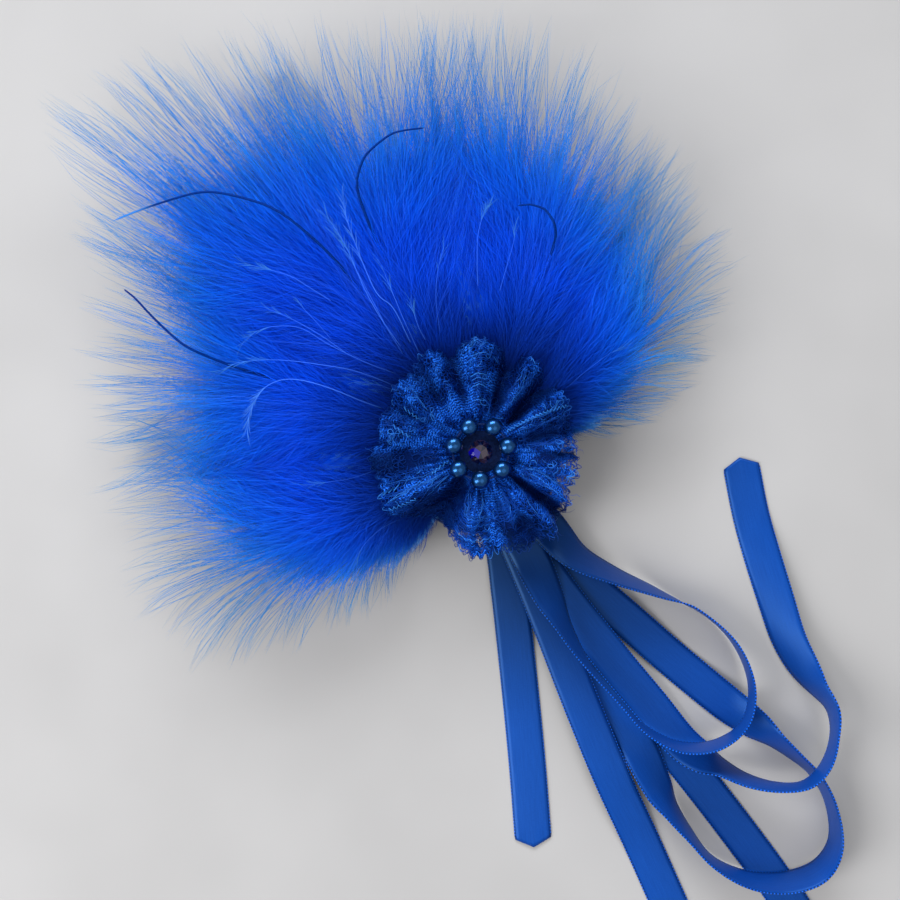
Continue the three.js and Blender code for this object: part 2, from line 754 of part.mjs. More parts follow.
function rosetteGeometry() {
  const corners = [new THREE.Vector3(0, 0, laceSeat + laceWall), new THREE.Vector3(0, 0, laceSeat)];
  const middle = { top: 0, bottom: 1 };
  const reach = (ring, angle) => lerp(gatherRadius, rosetteRadius * wave(angle).rim, ring.out);
  const rows = [{ out: 0, rise: 0, ruffle: 0, seat: true }, ...laceRings];
  for (const ring of rows) {
    for (let i = 0; i < laceSectors; i++) {
      const angle = (i / laceSectors) * 360;
      const radius = ring.seat ? gatherRadius * seatShare : reach(ring, angle);
      const z = ring.seat ? laceSeat : laceHeight(ring, angle);
      corners.push(polar(radius, angle, z + laceWall), polar(radius, angle, z));
    }
  }
  const top = (row, i) => 2 + 2 * (row * laceSectors + (i % laceSectors));
  const bottom = (row, i) => top(row, i) + 1;
  const faces = [];
  const last = rows.length - 1;
  for (let i = 0; i < laceSectors; i++) {
    faces.push([middle.top, top(0, i), top(0, i + 1)]);
    faces.push([middle.bottom, bottom(0, i + 1), bottom(0, i)]);
    for (let row = 0; row < last; row++) {
      faces.push([top(row, i), top(row + 1, i), top(row + 1, i + 1), top(row, i + 1)]);
      faces.push([bottom(row, i), bottom(row, i + 1), bottom(row + 1, i + 1), bottom(row + 1, i)]);
    }
    faces.push([top(last, i), bottom(last, i), bottom(last, i + 1), top(last, i + 1)]);
  }
  return surface(corners, faces);
}
add("lace_rosette", rosetteGeometry(), looks.lace);

// Pearls on their thread, resting on the lace, and the stone in the gathered middle
const pearlFoot = laceBottom + laceWall + laceRise * laceRings[1].rise;
const pearlHeight = pearlFoot + gap + pearlWidth / 2;

function pearlGeometry() {
  const ball = new THREE.SphereGeometry(pearlWidth / 2, pearlSides, pearlBands);
  const half = pearlWidth / 2;
  const sag = pearlRingRadius - Math.sqrt(pearlRingRadius ** 2 - half ** 2);
  const drillRadius = threadWidth / 2 + sag / 2 + drillGap;
  const drill = new THREE.CylinderGeometry(drillRadius, drillRadius, 2 * pearlWidth, threadSides);
  drill.translate(-sag / 2, 0, 0);
  return fromSolid(toSolid(ball).subtract(toSolid(drill)));
}
const pearl = pearlGeometry();
for (let i = 0; i < pearlCount; i++) {
  const angle = pearlTurn + (i * 360) / pearlCount;
  const place = polar(pearlRingRadius, angle, pearlHeight);
  add(`pearl_${i + 1}`, pearl, looks.pearl, place.toArray(), [0, 0, radians(angle)]);
}

const threadRing = new THREE.TorusGeometry(pearlRingRadius, threadWidth / 2, threadSides, 4 * pearlCount);
add("bead_thread", threadRing, looks.thread, [0, 0, pearlHeight], [0, 0, radians(pearlTurn)]);

function stoneGeometry() {
  const half = stoneWidth / 2;
  const table = half * stoneTableShare;
  const top = stoneBack + stoneGirdle + stoneCrown;
  const profile = [
    new THREE.Vector2(0, 0),
    new THREE.Vector2(table, 0),
    new THREE.Vector2(half, stoneBack),
    new THREE.Vector2(half, stoneBack + stoneGirdle),
    new THREE.Vector2(table, top),
    new THREE.Vector2(0, top),
  ];
  return new THREE.LatheGeometry(profile, stoneFacets);
}
const stoneSeat = laceSeat + laceWall + gap;
add("centre_stone", stoneGeometry(), looks.stone, [0, 0, stoneSeat], [Math.PI / 2, 0, 0]);

export default fascinator;
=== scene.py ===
import math

import bpy
import numpy as np
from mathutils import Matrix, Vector


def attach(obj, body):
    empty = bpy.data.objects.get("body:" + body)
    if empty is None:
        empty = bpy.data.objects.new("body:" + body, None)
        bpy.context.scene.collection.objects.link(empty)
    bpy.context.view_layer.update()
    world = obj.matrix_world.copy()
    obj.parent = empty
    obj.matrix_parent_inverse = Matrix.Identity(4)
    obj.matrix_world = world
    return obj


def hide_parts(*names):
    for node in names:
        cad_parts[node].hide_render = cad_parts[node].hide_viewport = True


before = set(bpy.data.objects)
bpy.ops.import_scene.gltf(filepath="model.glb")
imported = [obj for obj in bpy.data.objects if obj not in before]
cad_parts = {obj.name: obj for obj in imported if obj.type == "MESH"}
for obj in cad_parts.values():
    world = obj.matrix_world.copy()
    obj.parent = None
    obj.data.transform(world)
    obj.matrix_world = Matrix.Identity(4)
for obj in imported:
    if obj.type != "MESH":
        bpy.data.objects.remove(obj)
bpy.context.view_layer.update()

# The feather fascinator, dressed. Lengths are in millimetres until a mesh is made, and angles
# in degrees, anticlockwise from +X seen from above.
MM = 0.001
TURN = 360.0
UP = np.array([0.0, 0.0, 1.0])
# The most that a random wave is shifted by, in radians: one whole wave.
full_wave = 6.28

# Sizes shared with the solids
plume_length = 150.0
felt_radius, felt_wall, felt_bottom = 27.0, 2.0, 10.4
quill_width, quill_tip_width = 1.25, 0.6
seam_height = 13.4
fluff_height = 33.0
open_radius = 51.0
ribbon_width, ribbon_spread, layer_pitch, ribbon_point = 12.0, 100.0, 1.3, 3.0
ribbon_root_share = 0.72
rosette_radius, gather_radius = 34.0, 7.0
lace_bottom, lace_rise, pleat_height = 14.4, 8.5, 3.2
pearl_width, pearl_count, pearl_ring_radius, pearl_turn = 6.0, 7, 9.1, 12.0
thread_width = 0.8
stone_width, stone_table_share, stone_facets = 8.0, 0.58, 10


# Small helpers


def polar(radius, angle, height):
    """Places from radius, angle and height: x is r cos a, y is r sin a."""
    turn = np.radians(angle)
    return np.stack(np.broadcast_arrays(radius * np.cos(turn), radius * np.sin(turn), height), -1)


def smoothstep(low, high, value):
    """0 below low, 1 above high, and 3 t^2 - 2 t^3 between them."""
    t = np.clip((value - low) / (high - low), 0.0, 1.0)
    return t * t * (3.0 - 2.0 * t)


def unit(vectors):
    """Vectors scaled to length one."""
    return vectors / np.maximum(np.linalg.norm(vectors, axis=-1, keepdims=True), 1e-12)


def rgb(*colour):
    """A solid colour from its red, green and blue."""
    return (*colour, 1.0)


def make_piece(name, corners, faces, materials, smooth=True, **columns):
    """A piece from corners in millimetres and a list of face arrays, three or four corners each.

    Each further named array gives one number per corner and becomes an attribute of that name.
    """
    mesh = bpy.data.meshes.new(name)
    mesh.vertices.add(len(corners))
    mesh.vertices.foreach_set("co", (corners * MM).astype(np.float32).ravel())
    loops = np.concatenate([face.astype(np.int32).ravel() for face in faces])
    sides = np.concatenate([np.full(len(face), face.shape[1]) for face in faces])
    mesh.loops.add(len(loops))
    mesh.loops.foreach_set("vertex_index", loops)
    mesh.polygons.add(len(sides))
    starts = np.concatenate([[0], np.cumsum(sides)[:-1]]).astype(np.int32)
    mesh.polygons.foreach_set("loop_start", starts)
    mesh.polygons.foreach_set("use_smooth", np.full(len(sides), smooth))
    mesh.update(calc_edges=True)
    for column, values in columns.items():
        layer = mesh.attributes.new(column, "FLOAT", "POINT")
        layer.data.foreach_set("value", values.astype(np.float32).ravel())
    for material in materials:
        mesh.materials.append(material)
    piece = bpy.data.objects.new(name, mesh)
    bpy.context.scene.collection.objects.link(piece)
    return piece


def left_of(ahead):
    """Level directions to the left of the given ones."""
    return np.stack([-ahead[:, 1], ahead[:, 0], np.zeros(len(ahead))], 1)


def ring_points(centre, radius, side, top, turn):
    """Corners round each centre, at each turn: centre + radius (cos turn side + sin turn top)."""
    cosine, sine = np.cos(turn)[:, None], np.sin(turn)[:, None]
    return centre[..., None, :] + radius * (cosine * side[..., None, :] + sine * top[..., None, :])


def ring_faces(rows, around, closed=False):
    """Faces between rings of corners, row after row; the last ring meets the first if closed."""
    row, i = np.meshgrid(np.arange(rows if closed else rows - 1), np.arange(around), indexing="ij")
    row, below, after = row * around, (row + 1) % rows * around, (i + 1) % around
    return np.stack([row + i, row + after, below + after, below + i], -1).reshape(-1, 4)


def thread_mesh(paths, widths, sides=3, **columns):
    """Corners, faces and columns of round threads along many paths at once.

    paths is threads by stations by 3; widths and columns give a number per station. Each station
    carries a ring of corners; the last station is one point, and a flat cap closes the first ring.
    """
    count, stations = paths.shape[:2]
    widths = np.broadcast_to(widths, (count, stations))
    ahead = unit(np.gradient(paths, axis=1))
    side = unit(np.cross(UP, ahead) + np.array([1e-6, 0.0, 0.0]))
    top = np.cross(ahead, side)
    turn = np.arange(sides) * 2.0 * np.pi / sides + np.pi / 2.0
    half = 0.5 * widths[:, :-1, None, None]
    ring = ring_points(paths[:, :-1], half, side[:, :-1], top[:, :-1], turn)
    point = (stations - 1) * sides
    corners = np.concatenate([ring.reshape(count, point, 3), paths[:, -1:]], 1)
    first = (np.arange(count) * (point + 1))[:, None, None]
    quads = (first + ring_faces(stations - 1, sides)).reshape(-1, 4)
    around = np.arange(sides)
    after = (around + 1) % sides
    cone = np.stack([around + point - sides, after + point - sides, np.full(sides, point)], -1)
    fan = np.stack([np.zeros(sides - 2, int), np.arange(2, sides), np.arange(1, sides - 1)], -1)
    triangles = (first + np.concatenate([cone, fan])).reshape(-1, 3)
    for column, values in columns.items():
        values = np.broadcast_to(values, (count, stations))
        ringed = np.repeat(values[:, :-1], sides, axis=1)
        columns[column] = np.concatenate([ringed, values[:, -1:]], 1).ravel()
    return corners.reshape(-1, 3), [quads, triangles], columns


def bend(controls, stations):
    """Points on cubic Bezier curves: (1-t)^3 a + 3 t (1-t)^2 b + 3 t^2 (1-t) c + t^3 d."""
    t = np.linspace(0.0, 1.0, stations)
    weights = np.stack([(1 - t) ** 3, 3 * t * (1 - t) ** 2, 3 * t * t * (1 - t), t**3], 1)
    return np.einsum("sc,ncx->nsx", weights, controls)


def hermite(t, start, leave, end, arrive):
    """A cubic from one point to the next by its slopes, leave and arrive, there.

    (2 t^3 - 3 t^2 + 1) start + (t^3 - 2 t^2 + t) leave + (3 t^2 - 2 t^3) end + (t^3 - t^2) arrive.
    """
    return (
        (2 * t**3 - 3 * t**2 + 1) * start + (t**3 - 2 * t**2 + t) * leave
        + (3 * t**2 - 2 * t**3) * end + (t**3 - t**2) * arrive
    )


def join_meshes(parts):
    """Several (corners, faces, columns) as one, each face array moved on past the corners before."""
    corners, faces, columns, count = [], [], {}, 0
    for part_corners, part_faces, part_columns in parts:
        corners.append(part_corners)
        faces += [face + count for face in part_faces]
        for column, values in part_columns.items():
            columns.setdefault(column, []).append(values)
        count += len(part_corners)
    return np.concatenate(corners), faces, {k: np.concatenate(v) for k, v in columns.items()}


# Materials


class Nodes:
    """A node tree under way, and the short words that its finish is written in."""

    def node(self, kind, settings=(), **inputs):
        """A node with its settings, and its inputs set to a value or linked to an output."""
        made = self.tree.nodes.new("ShaderNode" + kind)
        for setting, value in dict(settings).items():
            setattr(made, setting, value)
        for socket, value in inputs.items():
            key = int(socket[1:]) if socket[0] == "i" and socket[1:].isdigit() else socket.replace("_", " ")
            if isinstance(value, bpy.types.NodeSocket):
                self.tree.links.new(value, made.inputs[key])
            else:
                made.inputs[key].default_value = value
        return made

    def math(self, operation, first, second=0.0, clamp=False):
        """One sum on two numbers or outputs."""
        made = self.node("Math", {"operation": operation, "use_clamp": clamp}, i0=first, i1=second)
        return made.outputs[0]

    def attribute(self, name):
        """The number that each corner of the piece carries under this name."""
        return self.node("Attribute", {"attribute_name": name}).outputs["Fac"]

    def ramp(self, value, stops):
        """A colour read from stops of (place, red, green, blue) by a number from 0 to 1."""
        made = self.node("ValToRGB", Fac=value)
        band = made.color_ramp
        band.elements[0].position, band.elements[1].position = stops[0][0], stops[-1][0]
        for stop in stops[1:-1]:
            band.elements.new(stop[0])
        for element, (place, *colour) in zip(band.elements, stops):
            element.color = (*colour, 1.0)
        return made.outputs["Color"]

    def mix(self, share, first, second, blend="MIX"):
        """Two colours mixed by a share."""
        made = self.node("Mix", {"data_type": "RGBA", "blend_type": blend}, i0=share, i6=first, i7=second)
        return made.outputs[2]

    def use(self, group, **inputs):
        """The one output of a shared group, its inputs set or linked."""
        return self.node("Group", {"node_tree": group.tree}, **inputs).outputs[0]

    def noise(self, size, detail=2.0):
        """The shared mottle, with blotches about `size` millimetres across."""
        return self.use(mottle, Fineness=1.0 / (size * MM), Detail=detail)

    def grain(self, place, fineness, detail):
        """Random grain read at a place, with about so many blotches to one unit of it."""
        return self.node("TexNoise", Vector=place, Scale=fineness, Detail=detail).outputs["Fac"]

    def range(self, value, low, high, first, last):
        """A number moved from low..high to first..last, and kept within them."""
        made = self.node("MapRange", {"clamp": True}, i0=value, i1=low, i2=high, i3=first, i4=last)
        return made.outputs[0]

    def dim(self, colour, share):
        """A colour times a number."""
        grey = self.node("CombineColor", i0=share, i1=share, i2=share)
        return self.mix(1.0, colour, grey.outputs[0], "MULTIPLY")


class Shared(Nodes):
    """A shader node group that several materials use, with its named inputs and outputs."""

    def __init__(self, name, takes, gives):
        self.tree = bpy.data.node_groups.new(name, "ShaderNodeTree")
        for way, sockets in (("INPUT", takes), ("OUTPUT", gives)):
            for socket, kind in sockets.items():
                self.tree.interface.new_socket(name=socket, in_out=way, socket_type="NodeSocket" + kind)
        self.takes = self.tree.nodes.new("NodeGroupInput").outputs
        self.gives = self.tree.nodes.new("NodeGroupOutput").inputs

    def give(self, socket, value):
        """Link one of the group's outputs."""
        self.tree.links.new(value, self.gives[socket])


class Finish(Nodes):
    """A material under way: its nodes, its links and its one shader."""

    def __init__(self, name, **sockets):
        self.material = bpy.data.materials.new(name)
        self.material.use_nodes = True
        self.tree = self.material.node_tree
        self.shader = self.tree.nodes["Principled BSDF"]
        for socket, value in sockets.items():
            self.shader.inputs[socket.replace("_", " ")].default_value = value

    def bump(self, height, depth, strength=1.0):
        """A bump whose full height is `depth` millimetres."""
        made = self.node("Bump", Strength=strength, Distance=depth * MM, Height=height)
        self.to("Normal", made.outputs["Normal"])

    def to(self, socket, value):
        """Link one of the shader's sockets."""
        self.tree.links.new(value, self.shader.inputs[socket])


def mottle_group():
    """Uneven dye or wear, for most of the finishes: random blotches read at the piece's own place."""
    group = Shared("mottle", {"Fineness": "Float", "Detail": "Float"}, {"Mottle": "Float"})
    place = group.node("TexCoord").outputs["Object"]
    group.give("Mottle", group.grain(place, group.takes["Fineness"], group.takes["Detail"]))
    return group


def shade_group():
    """The shade beside the rosette, for down and satin: Dark at Start metres from its middle, 1 at End."""
    group = Shared("rosette_shade", {"Start": "Float", "End": "Float", "Dark": "Float"}, {"Shade": "Float"})
    place = group.node("TexCoord").outputs["Object"]
    flat = group.node("VectorMath", {"operation": "MULTIPLY"}, i0=place, i1=(1.0, 1.0, 0.0)).outputs[0]
    away = group.node("VectorMath", {"operation": "LENGTH"}, i0=flat).outputs["Value"]
    group.give("Shade", group.range(away, group.takes["Start"], group.takes["End"], group.takes["Dark"], 1.0))
    return group


mottle = mottle_group()
rosette_shade = shade_group()


def down_dye_and_shade_group():
    """Colour of the down: deep blue in the thick and sky blue towards the rim, with painted shade that
    darkens it by the rosette.
    """
    dye = Shared("down_dye_and_shade", {"Tint": "Float"}, {"Dye_and_shade": "Color"})
    # Painted shade: the down is darkened close to the rosette.
    near = dye.use(rosette_shade, Start=0.024, End=0.06, Dark=0.08)
    # The darkest stops, where the rim share is low near the rosette, are painted shade too.
    dyed = dye.ramp(dye.attribute("rim"), [
        (0.04, 0.0, 0.008, 0.20), (0.26, 0.0, 0.056, 0.80), (0.5, 0.0, 0.086, 0.94),
        (0.66, 0.002, 0.155, 0.95),
        (0.78, 0.018, 0.24, 0.82), (0.9, 0.05, 0.27, 0.60), (1.0, 0.08, 0.30, 0.57)])
    faded = dye.mix(dye.noise(11.0, 1.0), rgb(0.6, 0.65, 0.76), rgb(1.1, 1.1, 1.05))
    dyed = dye.mix(dye.takes["Tint"], dye.mix(1.0, dyed, faded, "MULTIPLY"), rgb(0.07, 0.24, 0.92))
    dye.give("Dye_and_shade", dye.dim(dyed, near))
    return dye


down_dye_and_shade = down_dye_and_shade_group()


def down_finish():
    """One barb: the down's dye, a little paler on some barbs than on others."""
    # The emission is a painted glow in the down's own colour, for light scattered through the barbs.
    down = Finish(
        "dyed_down_painted_shade_and_glow", Roughness=0.8, Specular_IOR_Level=0.03, Sheen_Weight=0.06, Sheen_Roughness=0.5,
        Sheen_Tint=rgb(0.05, 0.35, 1.0), Emission_Strength=0.115
    )
    share = down.math("MULTIPLY", down.attribute("tint"), 0.45, clamp=True)
    colour = down.use(down_dye_and_shade, Tint=share)
    down.to("Base Color", colour)
    down.to("Emission Color", colour)
    return down.material


def haze_finish():
    """The finest barbules, too thin to draw one by one: a soft layer that thins out to nothing."""
    # The emission is a painted glow in the haze's own colour, for light scattered through the down.
    haze = Finish("down_haze", Roughness=0.9, Specular_IOR_Level=0.0, Emission_Strength=0.1)
    colour = haze.mix(haze.attribute("tint"), rgb(0.08, 0.31, 0.72), haze.use(down_dye_and_shade, Tint=0.0))
    haze.to("Base Color", colour)
    haze.to("Emission Color", colour)
    solid = haze.math("MULTIPLY", haze.attribute("tint"), 1.6)
    thin = haze.math(
        "ADD", haze.math("MULTIPLY", haze.noise(1.1, 0.0), 0.5),
        haze.math("MULTIPLY", haze.noise(7.0, 0.0), 0.4)
    )
    haze.to("Alpha", haze.math("SUBTRACT", solid, thin, clamp=True))
    return haze.material


def quill_finish():
    """The dyed rib of a plume: near black blue with a fine mottle, paler at a bare tip."""
    rib = Finish("quill_rib", Roughness=0.6, Specular_IOR_Level=0.04)
    grain = rib.noise(0.5, 4.0)
    dark = rib.ramp(grain, [(0.3, 0.0, 0.014, 0.13), (0.8, 0.0, 0.04, 0.30)])
    rib.to("Base Color", rib.mix(rib.attribute("tint"), dark, rgb(0.03, 0.22, 0.72)))
    rib.bump(grain, 0.05)
    return rib.material


# Plumes

# How far the down reaches at each angle, as a share of the plume length.
fan_angles = [6, 14, 20, 28, 36, 52, 60, 71, 94, 112, 120, 142, 150, 158, 180, 198, 218, 226, 238]
fan_reaches = [
    0.32, 0.44, 0.53, 0.6, 0.7, 0.76, 0.8, 0.88, 0.96, 0.99,
    1.06, 1.18, 1.0, 0.92, 0.82, 0.84, 0.76, 0.6, 0.42,
]
# How far the ends of the barbs turn from straight outwards at each angle of the fan.
sweep_angles = [6, 15, 27, 36, 59, 81, 94, 117, 130, 142, 165, 180, 198, 214, 222, 234, 245]
sweep_turns = [-14, -16, -24, -21, -6, -7, -4, -10, 0, 1, 4, 9, 4, 26, 29, 35, 25]

# Each plume: its slice of the fan, its storey, and its quill as rows of angle and reach.
plumes = [
    ("plume_low_1", 6, 62, False, [(22, 0.09), (28, 0.2), (35, 0.4)]),
    ("plume_low_2", 62, 118, False, [(93, 0.09), (91, 0.3), (90, 0.6)]),
    ("plume_low_3", 118, 177, False, [(141, 0.09), (145, 0.3), (147, 0.7)]),
    ("plume_low_4", 177, 238, False, [(190, 0.09), (203, 0.25), (207, 0.5)]),
    ("plume_right", 12, 56, True, [(38, 0.09), (37, 0.25), (35, 0.45)]),
    ("plume_hooked", 56, 93, True, [
        (71, 0.09), (71, 0.25), (70.5, 0.485), (72.4, 0.515), (75.3, 0.537), (78.7, 0.54),
        (81.6, 0.532)]),
    ("plume_top", 93, 122, True, [
        (112, 0.09), (116.5, 0.29), (116.5, 0.51), (115.5, 0.63), (111.7, 0.68), (108.3, 0.697),
        (105.2, 0.709), (99.8, 0.703)]),
    ("plume_top_left", 122, 152, True, [
        (125, 0.09), (126.5, 0.29), (127, 0.52), (130, 0.68), (136.3, 0.81), (142.4, 0.87),
        (148, 0.93)]),
    ("plume_left", 152, 184, True, [
        (158, 0.09), (160, 0.3), (161, 0.58), (160.5, 0.67), (158, 0.75), (156, 0.81), (155.5, 0.84)]),
    ("plume_lower_left", 184, 237, True, [(211, 0.09), (210, 0.25), (207, 0.48)]),
]

# Kinds of barb, from the long ones that gather into tufts at the rim to the short fluff at the
# quill: how many on an upper and a lower plume, reach as a share of the outline and how far the
# picks lean to its high end, length, width, stations along them, how tightly their ends gather,
# how many degrees they stray past the plume's slice, how wildly they turn and how pale some are.
barb_kinds = [
    {"kind": "fringe", "upper": 300, "lower": 170, "reach": (0.7, 1.06), "lean": 0.42,
     "length": (48, 80), "width": 0.2, "stations": 8, "gather": 0.93, "past": 5.0, "stray": 9.0, "pale": 1.0},
    {"kind": "veil", "upper": 1900, "lower": 700, "reach": (0.5, 1.22), "lean": 1.3,
     "length": (30, 54), "width": 0.13, "stations": 5, "gather": 0.2, "past": 7.0, "stray": 20.0,
     "pale": 0.7},
    {"kind": "fluff", "upper": 2700, "lower": 450, "reach": (0.24, 1.0), "lean": 1.0,
     "length": (14, 34), "width": 0.24, "stations": 4, "gather": 0.06, "past": 6.0, "stray": 34.0,
     "pale": 0.45},
]
tuft_pitch = 2.0
# The down keeps between these angles and heights, and starts at this share of the felt's radius.
fan_first, fan_last = 5, 240
down_floor, down_ceiling = 0.4, 32.4
down_root_share = 0.9
# How far out the outline is where the barbs have the lengths above; they shrink and grow with it.
usual_reach = 115.0
# Share of the outline that the thick of the down fills at each angle; past it only threads show.
thick_angles = [6, 36, 58, 76, 96, 140, 165, 184, 198, 212, 238]
thick_shares = [0.62, 0.68, 0.76, 0.8, 0.8, 0.8, 0.8, 0.8, 0.74, 0.68, 0.64]
tip_width_share = 0.35
haze_wall = 0.25


def storey_height(radius, share, upper):
    """Height in a plume's storey: it opens from the seam with a smooth step of the radius.

    The upper storey runs from the seam to the top of the fluff, the lower one down to the table.
    """
    room = smoothstep(felt_radius * 0.92, open_radius, radius)
    clear = 0.3 + quill_width / 2
    if upper:
        return seam_height + room * (clear + share * (fluff_height - seam_height - clear))
    return seam_height - room * (clear + (1 - share) * (seam_height - clear))


def quill_place(rows, share):
    """Angle and radius along a quill, read in straight lines between its rows."""
    at = share * (len(rows) - 1)
    index = np.arange(len(rows))
    angle = np.interp(at, index, [row[0] for row in rows])
    radius = np.interp(at, index, [row[1] for row in rows]) * plume_length
    return angle, radius


def rim_share(points):
    """How far out each point lies at its angle: 0.8 where the thick of the down ends."""
    angle = np.mod(np.degrees(np.arctan2(points[..., 1], points[..., 0])) + 60.0, TURN) - 60.0
    thick_end = np.interp(angle, fan_angles, fan_reaches) * np.interp(angle, thick_angles, thick_shares)
    return 0.8 * np.hypot(points[..., 0], points[..., 1]) / (thick_end * plume_length)


def barb_paths(kind, count, plume, draw):
    """Curves of one kind of barb: out of the quill, over the dome of the fluff, into its tuft.

    Each is a Bezier curve from the quill to a point on the outline. Its start leans along the
    quill, its end turns by the sweep, and ends of one tuft are drawn together.
    """
    _, first, last, upper, rows = plume
    first, last = max(first - kind["past"], fan_first), min(last + kind["past"], fan_last)
    gather = kind["gather"]
    # Where each barb ends: in one of the tufts, at a share of the outline that its tuft leans to.
    tufts = int((last - first) / tuft_pitch)
    tuft = draw.integers(0, tufts, count)
    pitch = (last - first) / tufts
    tuft_angle = first + (np.arange(tufts) + 0.5 + draw.uniform(-0.4, 0.4, tufts)) * pitch
    tuft_pick, tuft_tint, tuft_high = draw.uniform(0.0, 1.0, (3, tufts))
    angle = tuft_angle[tuft] + draw.normal(0.0, 1.0, count) * pitch * (1.0 - 0.86 * gather)
    angle = np.clip(angle, fan_first, fan_last)
    outline = np.interp(angle, fan_angles, fan_reaches) * plume_length
    low, high = kind["reach"]
    pick = 0.75 * gather * tuft_pick[tuft] + (1 - 0.75 * gather) * draw.uniform(0.0, 1.0, count)
    reach = outline * (low + (high - low) * pick ** kind["lean"])
    if kind["kind"] != "fringe":
        ragged = 0.88 + 0.24 * tuft_high[tuft]
        reach = reach * np.interp(angle, thick_angles, thick_shares) * ragged
    # Where it starts: a barb's length further in, by the quill, and spread wider past its curl.
    length = draw.uniform(*kind["length"], count) * np.clip(outline / usual_reach, 0.55, 1.15)
    root_radius = np.clip(reach - length, felt_radius * down_root_share, None)
    quill_angle, quill_radius = quill_place(rows, np.linspace(0, 1, 60))
    root_angle = np.interp(root_radius, np.maximum.accumulate(quill_radius), quill_angle)
    side = angle - root_angle
    past_curl = 0.9 * smoothstep(0.42, 0.64, root_radius / plume_length)
    root_angle = root_angle + side * np.maximum(draw.uniform(0.05, 0.6, count), past_curl)
    side = angle - root_angle
    # How high it lies: each tuft domed a little, and lower at both sides of the slice.
    middle, half = (first + last) / 2, (last - first) / 2
    edge = 1.0 - 0.4 * np.abs((angle - middle) / half) ** 3
    dome = (0.35 * tuft_high[tuft] + 0.65 * draw.uniform(0.0, 1.0, count)) * edge
    tip_height = storey_height(reach, (0.12 if upper else 0.02) + 0.62 * dome, upper)
    root = polar(root_radius, root_angle, storey_height(root_radius, 0.3, upper))
    tip = polar(reach, angle, tip_height)
    # Its curve: off along the quill, in along the sweep, and a little astray at both ends.
    turn = np.interp(angle, sweep_angles, sweep_turns)
    far = np.linalg.norm(tip - root, axis=1)
    lean = root_angle + side * 0.8 + draw.normal(0.0, kind["stray"], count)
    start = root + polar(0.33 * far, lean, 0.0)
    apart = draw.normal(0.0, 1.0, count) * (1.6 + 1.6 * gather)
    spread = polar(1.0, angle + turn + 90.0, 0.0) * apart[:, None]
    end = tip - polar(0.36 * far, angle + turn + draw.normal(0.0, kind["stray"] / 2, count), 0.0) + spread
    start[:, 2] = storey_height(np.linalg.norm(start[:, :2], axis=1), 0.3 + 0.58 * dome, upper)
    end[:, 2] = storey_height(np.linalg.norm(end[:, :2], axis=1), 0.22 + 0.68 * dome, upper)
    paths = bend(np.stack([root, start, end, tip], 1), kind["stations"])
    # A small sway to either side, and ends that thin out.
    along = np.broadcast_to(np.linspace(0, 1, kind["stations"]), (count, kind["stations"]))
    wave = np.sin(along * draw.uniform(3.0, 8.0, (count, 1)) + draw.uniform(0, full_wave, (count, 1)))
    sway = polar(1.0, angle + 90.0, 0.0)[:, None] * (wave * along * (1 - along) * 3.0)[..., None]
    paths = paths + sway * draw.uniform(0.2, 1.0, (count, 1, 1))
    paths[..., 2] = np.clip(paths[..., 2], down_floor, down_ceiling)
    fade = 1.0 - (1.0 - tip_width_share) * along**1.5
    widths = kind["width"] * fade * draw.uniform(0.6, 1.3, (count, 1))
    # Its colour: by how far out it lies, darker in the valleys between plumes as painted shade, and paler by
    # tufts.
    rim = rim_share(paths) * draw.uniform(0.94, 1.06, (count, 1))
    valley = smoothstep(0.7, 1.05, np.abs(angle - middle) / half)[:, None] * (1 - smoothstep(0.4, 0.75, rim))
    # Painted shade: in the valleys between upper plumes the rim share is lowered, which darkens the colour.
    rim = rim * (1 - 0.55 * upper * valley)
    shade = 0.45 * tuft_tint[tuft] + 0.55 * draw.uniform(0.0, 1.0, count)
    tint = np.broadcast_to(kind["pale"] * shade[:, None] ** 2, along.shape)
    return paths, widths, rim, tint


def closed_sheet(top, low):
    """Corners and faces of a shell between two grids of the same size, joined along their edges."""
    rows, across = top.shape[:2]
    half = rows * across
    index = np.arange(half).reshape(rows, across)
    upper = np.stack([index[:-1, :-1], index[1:, :-1], index[1:, 1:], index[:-1, 1:]], -1).reshape(-1, 4)
    edge = np.concatenate([index[:-1, 0], index[-1, :-1], index[:0:-1, -1], index[0, :0:-1]])
    after = np.roll(edge, -1)
    border = np.stack([edge + half, after + half, after, edge], -1)
    return np.concatenate([top.reshape(-1, 3), low.reshape(-1, 3)]), [upper, upper[:, ::-1] + half, border]


def haze_sheet(plume):
    """The soft layer in the middle of a plume's storey, gently waved, thinning out past the thick.

    Its tint is how solid it is: 1 in the thick of the down, falling by smooth steps to 0 at the
    rim and at both sides of the slice.
    """
    _, first, last, upper, _ = plume
    angle = np.linspace(max(first - 8, fan_first - 1), min(last + 8, fan_last + 1), 60)
    ragged = 1 + 0.05 * np.sin(angle * 1.7 + first) + 0.04 * np.sin(angle * 3.1) + 0.03 * np.sin(angle * 0.6)
    thick = np.interp(angle, thick_angles, thick_shares) * ragged
    fade = np.linspace(0, 1, 26)[:, None]
    share = 0.15 + (1.17 * thick - 0.15) * fade
    outline = np.interp(angle, fan_angles, fan_reaches) * plume_length
    radius = np.maximum(share * outline, felt_radius * down_root_share)
    wave = 0.5 * np.sin(angle / 2.7 + radius / 19.0) + 0.5 * np.sin(angle / 4.9 - radius / 11.0)
    high = storey_height(radius, (0.52 if upper else 0.4) - 0.28 * share + 0.07 * wave, upper)
    top = polar(radius, angle, high)
    low = top - haze_wall * UP
    side = smoothstep(0, 9, angle - angle[0]) * smoothstep(0, 9, angle[-1] - angle)
    solid = side * (1 - smoothstep(0.62, 1.15, share / thick))
    corners, faces = closed_sheet(top, low)
    return corners, faces, {"rim": np.tile(rim_share(top).ravel(), 2), "tint": np.tile(solid.ravel(), 2)}


